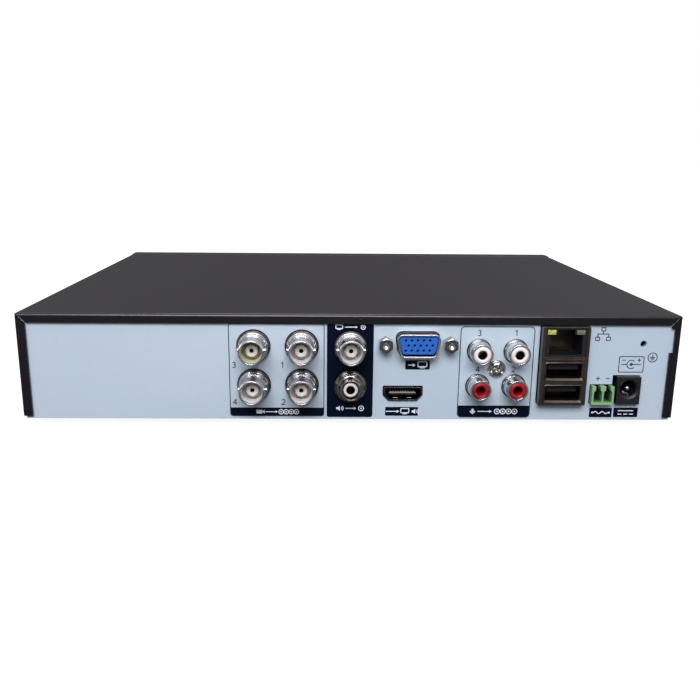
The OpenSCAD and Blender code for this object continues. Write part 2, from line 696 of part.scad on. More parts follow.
module jack_insulators() color("#d9d6d0") {
    for (column = [0, 1], row = [0, 1]) at_place(jack_place(column, row)) bnc_insulator();
    at_place(av_out_place(0)) bnc_insulator();
    at_place(av_out_place(1)) turned([
        [1.7, block_y], [2.75, block_y], [2.75, phono_reach - 0.5], [2.5, phono_reach - 0.2],
        [1.7, phono_reach - 0.2]
    ]);
}

module jack_contacts() color("gold") {
    for (column = [0, 1], row = [0, 1]) at_place(jack_place(column, row)) bnc_contact();
    at_place(av_out_place(0)) bnc_contact();
    at_place(av_out_place(1)) turned([
        [1.3, block_y], [1.66, block_y], [1.66, phono_reach - 1.6], [1.3, phono_reach - 1.6]
    ]);
}

module audio_in_housing() color("#18181a") difference() {
    block([phono_x - 14.2, block_y - block_d, deck_z], [phono_x + 14.2, block_y, 35]);
    translate([phono_x, 0, phono_z]) rod_y(tapped_r, block_y - 6, block_y + cut);
}

module phono_shells() color("silver") {
    for (column = [0, 1], row = [0, 1]) at_place(phono_place(column, row)) turned([
        [3.4, block_y], [4.5, block_y], [4.5, 0.8], [phono_r, 1.2], [phono_r, phono_reach - 0.3],
        [phono_r - 0.2, phono_reach], [3.4, phono_reach]
    ]);
}

module phono_insert() turned([
    [0, block_y], [3.35, block_y], [3.35, phono_reach - 0.1], [3.1, phono_reach + 0.2],
    [1.9, phono_reach + 0.2], [1.65, phono_reach - 0.1], [1.65, 0.5], [0, 0.5]
]);

module phono_inserts_white() color("white")
    for (column = [0, 1]) at_place(phono_place(column, 0)) phono_insert();

module phono_inserts_red() color("firebrick")
    for (column = [0, 1]) at_place(phono_place(column, 1)) phono_insert();

module audio_in_screw() color("silver")
    translate([phono_x, 0, phono_z]) rotate([-90, 0, 0]) rotate(20) pan_screw(3.1, 2.2, m3_r, 6.5);

/* ---- Display ports ---- */

module display_housing() color("#18181a") difference() {
    block([display_x - 15.4, -16, deck_z], [display_x + 15.4, -2.1, vga_z + 6.3]);
    // Room for the digital port below, and for the monitor port's screws
    block([hd_out_x - 8, -16 - cut, deck_z - cut], [hd_out_x + 8, cut, hd_out_z + 3.2]);
    for (side = [-1, 1]) translate([display_x + side * jackscrew_pitch / 2, 0, vga_z]) rod_y(1.48, -8, cut);
    panel_solid(-9, cut) vga_outline(-0.7);
}

module vga_shell() color("silver") difference() {
    union() {
        block([display_x - 15.4, -2, vga_z - 6.2], [display_x + 15.4, -1.2, vga_z + 6.2]);
        panel_solid(-2, vga_reach) vga_outline(0);
    }
    panel_solid(-2 - cut, vga_reach + cut) vga_outline(-0.6);
    for (side = [-1, 1]) translate([display_x + side * jackscrew_pitch / 2, 0, vga_z]) rod_y(1.55, -3, cut);
}

module vga_insert() color("#1f5fc0") difference() {
    panel_solid(-8.8, vga_reach - 0.8) vga_outline(-0.75);
    for (row = [0:2], i = [0:4])
        translate([display_x + (i - 2) * 2.29 + (row == 1 ? -0.7 : 0.4), 0, vga_z + (1 - row) * 1.98])
            rod_y(0.5, 0, vga_reach, $fn = 16);
}

module vga_jackscrews() color("silver") {
    for (side = [-1, 1]) translate([display_x + side * jackscrew_pitch / 2, 0, vga_z]) difference() {
        union() {
            translate([0, -1.2, 0]) rotate([-90, 0, 0]) cylinder(d = 3.9, h = 1.4);
            translate([0, 0.2, 0]) rotate([-90, 0, 0]) cylinder(d = 5.5, h = 4.8, $fn = 6);
            rod_y(1.42, -7, 0);
        }
        rod_y(1.25, -0.5, 5 + cut);
    }
}

module hd_out_shell() color("silver") difference() {
    panel_solid(-11.5, 0.7) hd_out_outline(0);
    panel_solid(-11, 0.7 + cut) hd_out_outline(-0.4);
}

module hd_out_tongue() color("#141414") {
    block([hd_out_x - 5.4, -10.6, hd_out_z + 0.3], [hd_out_x + 5.4, -1.2, hd_out_z + 1.5]);
    panel_solid(-11, -10.2) hd_out_outline(-0.5);
}

/* ---- Network and serial bus stack ---- */

module stack_outline(margin) translate([stack_x - stack_w / 2 - margin, stack_z[0] - margin])
    square([stack_w + 2 * margin, stack_z[1] - stack_z[0] + 2 * margin]);

module lan_usb_shield() color("#8d8880") difference() {
    panel_solid(-21.5, 3.6) stack_outline(0);
    panel_solid(-21, 3.1) stack_outline(-0.4);
    panel_solid(2, 3.6 + cut) {
        translate([stack_x - 7.9, 26.2]) square([15.8, 11.2]);
        for (z = usb_z) translate([stack_x - usb_w / 2, z - usb_h / 2]) square([usb_w, usb_h]);
    }
}

module lan_usb_core() color("#121212") {
    // The network jack's moulding, with the notch for the plug's latch at the top
    difference() {
        panel_solid(-20.8, 3.05) translate([stack_x - 8.4, 25.4]) square([16.8, 12]);
        panel_solid(-9.6, 3.05 + cut) {
            translate([stack_x - rj_w / 2, rj_z[0]]) square([rj_w, rj_z[1] - rj_z[0]]);
            translate([stack_x - notch_w / 2, rj_z[1] - 0.1]) square([notch_w, notch_top - rj_z[1] + 0.1]);
        }
        for (side = [-1, 1]) translate([stack_x + side * 5.6 - 1.7, 0.8, 34.8]) cube([3.4, cut * 4, 2]);
    }
    // Bus tongues on a common back block
    block([stack_x - 8.4, -20.8, deck_z + 0.5], [stack_x + 8.4, -9.4, 25.3]);
    for (z = usb_z) block([stack_x - 5.8, -9.4, z + 0.3], [stack_x + 5.8, 1.4, z + 2.1]);
}

module lan_usb_contacts() color("gold") {
    for (i = [0:7]) translate([stack_x + (i - 3.5) * 1.02, -1, rj_z[0] + 0.35]) rotate([-14, 0, 0])
        block([-0.2, -7.6, 0], [0.2, 0, 0.35]);
    for (z = usb_z, i = [0:3]) {
        x = stack_x + (i - 1.5) * 2.3;
        block([x - 0.5, -8, z], [x + 0.5, 1, z + 0.28]);
    }
}

module lan_lights() color("#c9c93a") {
    for (side = [-1, 1])
        block([stack_x + side * 5.6 - 1.6, 0.85, 34.9], [stack_x + side * 5.6 + 1.6, 3.3, 36.7]);
}

/* ---- Serial terminal and power inlet ---- */

module serial_header() color("#56a04c") difference() {
    block([serial_x - serial_w / 2, -8.5, deck_z], [serial_x + serial_w / 2, 3, deck_z + serial_h]);
    for (side = [-1, 1]) translate([serial_x + side * 1.95, 0, deck_z]) panel_solid(-6.5, 3 + cut)
        polygon([
            [-1.6, 0.9], [1.6, 0.9], [1.6, 5.2], [0.9, 5.9], [0.9, serial_h + cut], [-0.9, serial_h + cut],
            [-0.9, 5.9], [-1.6, 5.2]
        ]);
}

module dc_jack_body() color("#161618") difference() {
    block([dc_x - dc_w / 2, -12, deck_z], [dc_x + dc_w / 2, 2.2, deck_z + dc_h]);
    translate([dc_x, 0, dc_z]) {
        rod_y(3.1, -8.5, 2.2 + cut);
        turned([[0, 1.4], [3.1, 1.4], [3.9, 2.2], [3.9, 2.2 + cut], [0, 2.2 + cut]]);
    }
}

module power_and_serial_pins() color("silver") {
    // The inlet's centre pin, standing on the end of its bore, and its leaf contact
    translate([dc_x, 0, dc_z]) turned([[0, -8.5], [1.05, -8.5], [1.05, 0.4], [0.7, 1], [0, 1.2]]);
    block([dc_x - 1, -8.4, dc_z - 2.85], [dc_x + 1, -1.5, dc_z - 2.45]);
    for (side = [-1, 1])
        translate([serial_x + side * 1.95, 0, deck_z + 3.2]) block([-0.5, -6.5, -0.5], [0.5, 0.5, 0.5]);
}

/* ---- Hard disk ---- */

// Room for the head arm and its coil beside the platter
module arm_bay() {
    translate([hdd_at.x, hdd_at.y])
        polygon(rounded([[12, 6], [84, 6], [84, 60], [62, 92], [46, 92], [12, 50]], 5));
}

module hdd_base() color("#9a9ca0") {
    difference() {
        block(hdd_at, [hdd_at.x + hdd_size.x, hdd_at.y + hdd_size.y, tub_top]);
        translate([spindle.x, spindle.y, hdd_deck_z]) cylinder(r = tub_r, h = hdd_size.z, $fn = 96);
        translate([0, 0, hdd_deck_z]) linear_extrude(height = hdd_size.z) arm_bay();
        // Recess under the deck for the circuit board
        block([hdd_at.x - cut, hdd_at.y + 7, hdd_at.z - cut],
              [hdd_at.x + 64, hdd_at.y + hdd_size.y - 7, hdd_at.z + 5.2]);
        // Port opening in the end wall
        block([hdd_at.x - cut, hdd_mid_y - 14, hdd_at.z + 5],
              [hdd_at.x + 5.6, hdd_mid_y + 33, hdd_at.z + 8.8]);
        for (x = hdd_hole_x, side = [-1, 1]) translate([x, hdd_mid_y + side * hdd_hole_dy, hdd_at.z - cut])
            cylinder(r = 1.75, h = 5 + cut);
        for (p = hdd_lid_screws) translate([p.x, p.y, tub_top - 4]) cylinder(r = 1.25, h = 4 + cut);
    }
    // Spindle and pivot posts
    translate([spindle.x, spindle.y, hdd_deck_z - 0.5]) cylinder(r = 5, h = platter_z - hdd_deck_z + 2.5);
    translate([pivot.x, pivot.y, hdd_deck_z - 0.5]) cylinder(r = 3.4, h = tub_top - hdd_deck_z + 0.4);
    // Ramp that the heads park on, beside the platter
    ramp = pivot + (arm_length + 2.4) * [cos(parked_angle), sin(parked_angle)];
    translate([ramp.x, ramp.y, hdd_deck_z - 0.5]) rotate(parked_angle)
        block([1.2, -3, 0], [3.6, 3, platter_z - hdd_deck_z + 2.4]);
}

module hdd_cover() color("#b4b6b9") {
    low = tub_top + 0.02;
    difference() {
        union() {
            translate([0, 0, low]) linear_extrude(height = hdd_lid_t - 0.22) polygon(rounded([
                [hdd_at.x + 12, hdd_at.y + 0.6], [hdd_at.x + 146.4, hdd_at.y + 0.6],
                [hdd_at.x + 146.4, hdd_at.y + 101], [hdd_at.x + 12, hdd_at.y + 101]
            ], 4));
            translate([spindle.x, spindle.y, low]) cylinder(r = 40, h = hdd_lid_t, $fn = 96);
        }
        for (p = hdd_lid_screws) translate([p.x, p.y, low - cut]) cylinder(r = 1.5, h = 3 * cut);
    }
}

module hdd_cover_screws() color("#6c6e72") {
    for (p = hdd_lid_screws) translate([p.x, p.y, tub_top + hdd_lid_t - 0.19]) difference() {
        union() {
            cylinder(r = 2, h = 0.9);
            translate([0, 0, -4.4]) cylinder(r = 1.2, h = 4.5);
        }
        translate([0, 0, 0.3]) cylinder(r = 0.9, h = 2, $fn = 6);
    }
}

module hdd_platter() color("#d4d6da") {
    translate([spindle.x, spindle.y, 0]) difference() {
        union() {
            translate([0, 0, platter_z - platter_t / 2])
                cylinder(r = platter_d / 2, h = platter_t, $fn = 128);
            // Motor hub under the disk and the clamp over it
            translate([0, 0, platter_z - 5]) cylinder(r = 12.5, h = 5);
            translate([0, 0, platter_z]) rotate_extrude()
                polygon([[0, 0], [16, 0], [16, 1.8], [15, 2.4], [12.5, 3.4], [0, 3.4]]);
        }
        translate([0, 0, platter_z - 5 - cut]) cylinder(r = 5.06, h = 5 + cut + 2.2);
        for (i = [0:5]) rotate(i * 60) translate([9, 0, platter_z + 2]) cylinder(r = 1.3, h = 3, $fn = 24);
    }
}

module hdd_actuator() color("#a9abb0") {
    hub_z = [hdd_deck_z + 1.2, tub_top - 1.4];
    translate([pivot.x, pivot.y, 0]) rotate(parked_angle) {
        difference() {
            union() {
                translate([0, 0, hub_z[0]]) cylinder(r = 7, h = hub_z[1] - hub_z[0]);
                for (z = [platter_z - 3.6, platter_z + 2.4]) translate([0, 0, z]) linear_extrude(height = 1.2)
                    polygon([
                        [0, 6], [14, 5], [arm_length - 6, 1.6], [arm_length + 2, 0.8], [arm_length + 2, -0.8],
                        [arm_length - 6, -1.6], [14, -5], [0, -6]
                    ]);
                // Coil on the far side of the pivot
                translate([0, 0, platter_z - 1.4]) linear_extrude(height = 2.8)
                    polygon(rounded([[-5, 5], [-20, 10], [-20, -10], [-5, -5]], 2));
            }
            translate([0, 0, hub_z[0] - cut]) cylinder(r = 3.46, h = hub_z[1] - hub_z[0] + 2 * cut);
            translate([0, 0, platter_z - 1.4 - cut]) linear_extrude(height = 2.8 + 2 * cut)
                polygon(rounded([[-9.5, 3.4], [-16.5, 5.8], [-16.5, -5.8], [-9.5, -3.4]], 1));
        }
        // Read and write heads, clear of the disk
        for (z = [platter_z - 2.4, platter_z + 1.6])
            translate([arm_length - 0.6, -0.7, z]) cube([1.4, 1.4, 0.82]);
    }
}

module hdd_magnets() color("#77797d") {
    mid = parked_angle + 180 - arm_swing / 2;
    for (z = [hdd_deck_z + 0.02, platter_z + 2.2]) translate([pivot.x, pivot.y, z])
        linear_extrude(height = z < platter_z ? platter_z - 2.2 - hdd_deck_z : 3.4)
            polygon(concat(
                arc([0, 0], 22.6, mid - 44, mid + 44, 10),
                arc([0, 0], 11, mid + 44, mid - 44, 8)
            ));
}

module hdd_board() color("#1b4f2e") {
    // Circuit board under the deck, with the data and power port on its end
    difference() {
        union() {
            block([hdd_at.x + 1, hdd_at.y + 8, hdd_at.z + 0.8],
                  [hdd_at.x + 62, hdd_at.y + hdd_size.y - 8, hdd_at.z + 2.4]);
            block([hdd_at.x, hdd_mid_y - 13, hdd_at.z + 2.4], [hdd_at.x + 5, hdd_mid_y + 32, hdd_at.z + 8.6]);
        }
        for (span = [[-11, 16], [18.5, 31]])
            block([hdd_at.x - cut, hdd_mid_y + span[0], hdd_at.z + 3.6],
                  [hdd_at.x + 3.4, hdd_mid_y + span[1], hdd_at.z + 7.4]);
    }
}

module hdd_mount_screws() color("silver") {
    z = hdd_at.z - sheet_t - 0.05;
    for (x = hdd_hole_x, side = [-1, 1])
        translate([x, hdd_mid_y + side * hdd_hole_dy, z]) rotate([180, 0, 0]) pan_screw(3.2, 2, 1.7, 5);
}

/* ---- The recorder ---- */

module at_case() translate([0, rear_y, foot_h]) children();

at_case() chassis();
at_case() top_cover();
at_case() cover_screws();
at_case() rubber_feet();
at_case() front_bezel();
at_case() window_lens();
at_case() light_guides();
at_case() front_board();
at_case() front_leds();
at_case() ir_receiver();
at_case() front_cable();
at_case() m3_screws();
at_case() standoffs();
at_case() main_board();
at_case() chips();
at_case() heatsink();
at_case() capacitors();
at_case() surface_parts();
at_case() coin_cell_holder();
at_case() coin_cell();
at_case() buzzer();
at_case() board_sockets();
at_case() sata_data_cable();
at_case() hdd_power_cable();
at_case() video_in_housing();
at_case() bnc_shell_1();
at_case() bnc_shell_2();
at_case() bnc_shell_3();
at_case() bnc_shell_4();
at_case() av_out_housing();
at_case() bnc_shell_out();
at_case() phono_shell_out();
at_case() jack_insulators();
at_case() jack_contacts();
at_case() display_housing();
at_case() vga_shell();
at_case() vga_insert();
at_case() vga_jackscrews();
at_case() hd_out_shell();
at_case() hd_out_tongue();
at_case() audio_in_housing();
at_case() phono_shells();
at_case() phono_inserts_white();
at_case() phono_inserts_red();
at_case() audio_in_screw();
at_case() lan_usb_shield();
at_case() lan_usb_core();
at_case() lan_usb_contacts();
at_case() lan_lights();
at_case() serial_header();
at_case() dc_jack_body();
at_case() power_and_serial_pins();
at_case() hdd_base();
at_case() hdd_cover();
at_case() hdd_platter();
at_case() hdd_actuator();
at_case() hdd_magnets();
at_case() hdd_board();
at_case() hdd_cover_screws();
at_case() hdd_mount_screws();
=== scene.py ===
import json
import math
import random

import bmesh
import bpy
from mathutils import Matrix, Vector


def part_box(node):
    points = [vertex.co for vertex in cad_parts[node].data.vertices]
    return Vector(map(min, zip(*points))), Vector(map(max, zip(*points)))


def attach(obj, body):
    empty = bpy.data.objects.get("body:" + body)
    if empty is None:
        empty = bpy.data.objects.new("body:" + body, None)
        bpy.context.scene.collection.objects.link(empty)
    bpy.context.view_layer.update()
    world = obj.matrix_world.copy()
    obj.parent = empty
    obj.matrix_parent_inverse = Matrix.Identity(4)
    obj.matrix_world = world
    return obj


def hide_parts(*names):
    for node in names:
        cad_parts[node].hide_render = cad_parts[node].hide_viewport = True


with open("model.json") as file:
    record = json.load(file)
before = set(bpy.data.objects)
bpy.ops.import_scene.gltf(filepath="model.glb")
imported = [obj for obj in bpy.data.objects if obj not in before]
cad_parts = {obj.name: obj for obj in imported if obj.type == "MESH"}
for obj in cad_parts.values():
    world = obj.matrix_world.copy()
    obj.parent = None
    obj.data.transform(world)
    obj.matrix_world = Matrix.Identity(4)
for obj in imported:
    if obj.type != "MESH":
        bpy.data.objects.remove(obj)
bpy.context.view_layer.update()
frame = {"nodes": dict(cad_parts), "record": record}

MM = 0.001
RECORD = frame["record"]
SLOT_OF = {part["node"]: part["material_slot"] for part in RECORD["subparts"]}

# The case's frame: x = 0 in the middle, y = 0 on the rear panel's outer face, z = 0 at the underside
PANEL_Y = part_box("chassis")[1].y
BASE_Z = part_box("chassis")[0].z


def case(x, y, z):
    """A point given in millimetres in the case's frame: across, out of the rear panel, and up."""
    return Vector((x * MM, PANEL_Y + y * MM, BASE_Z + z * MM))


def solids(node):
    """The corners, in millimetres in the case's frame, of each separate solid in a CAD node."""
    bm = bmesh.new()
    bm.from_mesh(frame["nodes"][node].data)
    bmesh.ops.remove_doubles(bm, verts=bm.verts, dist=0.001 * MM)
    seen, found = set(), []
    for start in bm.verts:
        if start in seen:
            continue
        seen.add(start)
        group, ahead = [], [start]
        while ahead:
            vert = ahead.pop()
            group.append((vert.co - case(0, 0, 0)) / MM)
            near = [edge.other_vert(vert) for edge in vert.link_edges]
            fresh = [v for v in near if v not in seen]
            seen.update(fresh)
            ahead += fresh
        low = Vector(min(p[i] for p in group) for i in range(3))
        high = Vector(max(p[i] for p in group) for i in range(3))
        found.append((low, high))
    bm.free()
    return found


def places(node):
    """Where each solid in a CAD node stands: its middle across and up, and how far out it reaches."""
    return [((low.x + high.x) / 2, (low.z + high.z) / 2, high.y) for low, high in solids(node)]


# ---- Materials -------------------------------------------------------------------------------

BUMP_DEPTH = 0.0002          # metres

class Nodes:
    """A short way to write a node tree: every call adds a node and returns its output socket."""

    def __init__(self, name, owner=None, shader="Principled BSDF", coords="Object"):
        self.owner = owner or bpy.data.materials.new(name)
        self.owner.use_nodes = True
        self.tree = self.owner.node_tree
        self.shader = self.tree.nodes[shader]
        self.coords = self.tree.nodes.new("ShaderNodeTexCoord").outputs[coords]

    def add(self, kind, inputs=None, output=0, **settings):
        node = self.tree.nodes.new(kind)
        for key, value in settings.items():
            setattr(node, key, value)
        for key, value in (inputs or {}).items():
            if isinstance(value, bpy.types.NodeSocket):
                self.tree.links.new(value, node.inputs[key])
            else:
                node.inputs[key].default_value = value
        return node.outputs[output]

    def noise(self, scale, detail=3.0, rough=0.5, stretch=(1, 1, 1)):
        place = self.add("ShaderNodeMapping", {"Vector": self.coords, "Scale": stretch})
        inputs = {"Vector": place, "Scale": scale, "Detail": detail, "Roughness": rough}
        return self.add("ShaderNodeTexNoise", inputs)

    def math(self, operation, a, b):
        return self.add("ShaderNodeMath", {0: a, 1: b}, operation=operation)

    def parts(self):
        """The coordinates' three parts."""
        return self.add("ShaderNodeSeparateXYZ", {"Vector": self.coords}).node.outputs

    def ramp(self, factor, stops):
        """A colour ramp through (position, colour) stops."""
        out = self.add("ShaderNodeValToRGB", {"Fac": factor})
        elements = out.node.color_ramp.elements
        while len(elements) < len(stops):
            elements.new(0.5)
        for element, (position, colour) in zip(elements, stops):
            element.position = position
            element.color = (*colour, 1)
        return out

    def mix(self, factor, a, b, blend="MIX"):
        inputs = {"Factor": factor, 6: a, 7: b}
        return self.add("ShaderNodeMix", inputs, 2, data_type="RGBA", blend_type=blend)

    def range(self, factor, low, high, from_low=0.0, from_high=1.0):
        limits = {"From Min": from_low, "From Max": from_high, "To Min": low, "To Max": high}
        return self.add("ShaderNodeMapRange", {"Value": factor, **limits})

    def bump(self, height, strength):
        return self.add("ShaderNodeBump", {"Height": height, "Strength": strength, "Distance": BUMP_DEPTH})

    def link(self, socket, name):
        self.tree.links.new(socket, self.shader.inputs[name])

    def set(self, **values):
        for name, value in values.items():
            self.shader.inputs[name.replace("_", " ")].default_value = value


def surface(
    name, colour, spread=0.08, grain=300.0, roughness=0.5, rough_spread=0.08,
    metallic=0.0, bump=0.05, bump_scale=2500.0, stretch=(1, 1, 1), **extra,
):
    """A material whose colour, roughness and fine relief vary over the surface."""
    n = Nodes(name)
    dark = tuple(c * (1 - spread) for c in colour)
    light = tuple(min(1.0, c * (1 + spread)) for c in colour)
    n.link(n.ramp(n.noise(grain, stretch=stretch), [(0.3, dark), (0.7, light)]), "Base Color")
    wear = n.noise(grain * 2.3, stretch=stretch)
    n.link(n.range(wear, roughness - rough_spread, roughness + rough_spread), "Roughness")
    relief = n.noise(bump_scale, 2.0, stretch=stretch)
    n.link(n.bump(relief, bump), "Normal")
    n.set(Metallic=metallic, **extra)
    return n.owner


def panel_paint():
    """Smooth silver-blue paint with a faint orange peel and slow changes of tone."""
    n = Nodes("panel_paint")
    slow = n.ramp(n.noise(9, 2.0), [(0.3, (0.43, 0.54, 0.65)), (0.7, (0.49, 0.57, 0.67))])
    fine = n.ramp(n.noise(1400, 3.0), [(0.2, (0.93, 0.93, 0.93)), (0.8, (1.0, 1.0, 1.0))])
    n.link(n.mix(1.0, slow, fine, "MULTIPLY"), "Base Color")
    n.link(n.range(n.noise(60, 3.0), 0.36, 0.46), "Roughness")
    n.link(n.bump(n.noise(1100, 2.0), 0.05), "Normal")
    n.set(Metallic=0.15)
    return n.owner


def board_resist(name, colour):
    """Glossy solder resist, with the weave of the board showing faintly through it."""
    n = Nodes(name)
    tone = n.ramp(n.noise(60), [(0.3, tuple(c * 0.82 for c in colour)), (0.7, colour)])
    weave = n.add("ShaderNodeTexWave", {"Vector": n.coords, "Scale": 420.0}, wave_type="BANDS")
    n.link(n.mix(n.math("MULTIPLY", weave, 0.12), tone, (*(c * 1.6 for c in colour), 1)), "Base Color")
    n.link(n.range(n.noise(400), 0.22, 0.34), "Roughness")
    n.link(n.bump(weave, 0.03), "Normal")
    n.set(Coat_Weight=0.3, Coat_Roughness=0.15)
    return n.owner


def shade_darkened_moulding(name, colour, front, back):
    """A moulding whose colour darkens from one reach to another: painted shade in its wells."""
    n = Nodes(name)
    # Painted shade: the colour darkens towards the back of the wells
    depth = n.range(n.parts()["Y"], 0.0, 1.0, PANEL_Y + back * MM, PANEL_Y + front * MM)
    tone = n.ramp(n.noise(500), [(0.3, tuple(c * 0.9 for c in colour)), (0.7, colour)])
    n.link(n.mix(depth, (*(c * 0.12 for c in colour), 1), tone), "Base Color")
    n.link(n.range(n.noise(900), 0.34, 0.46), "Roughness")
    n.link(n.bump(n.noise(2500, 2.0), 0.08), "Normal")
    return n.owner


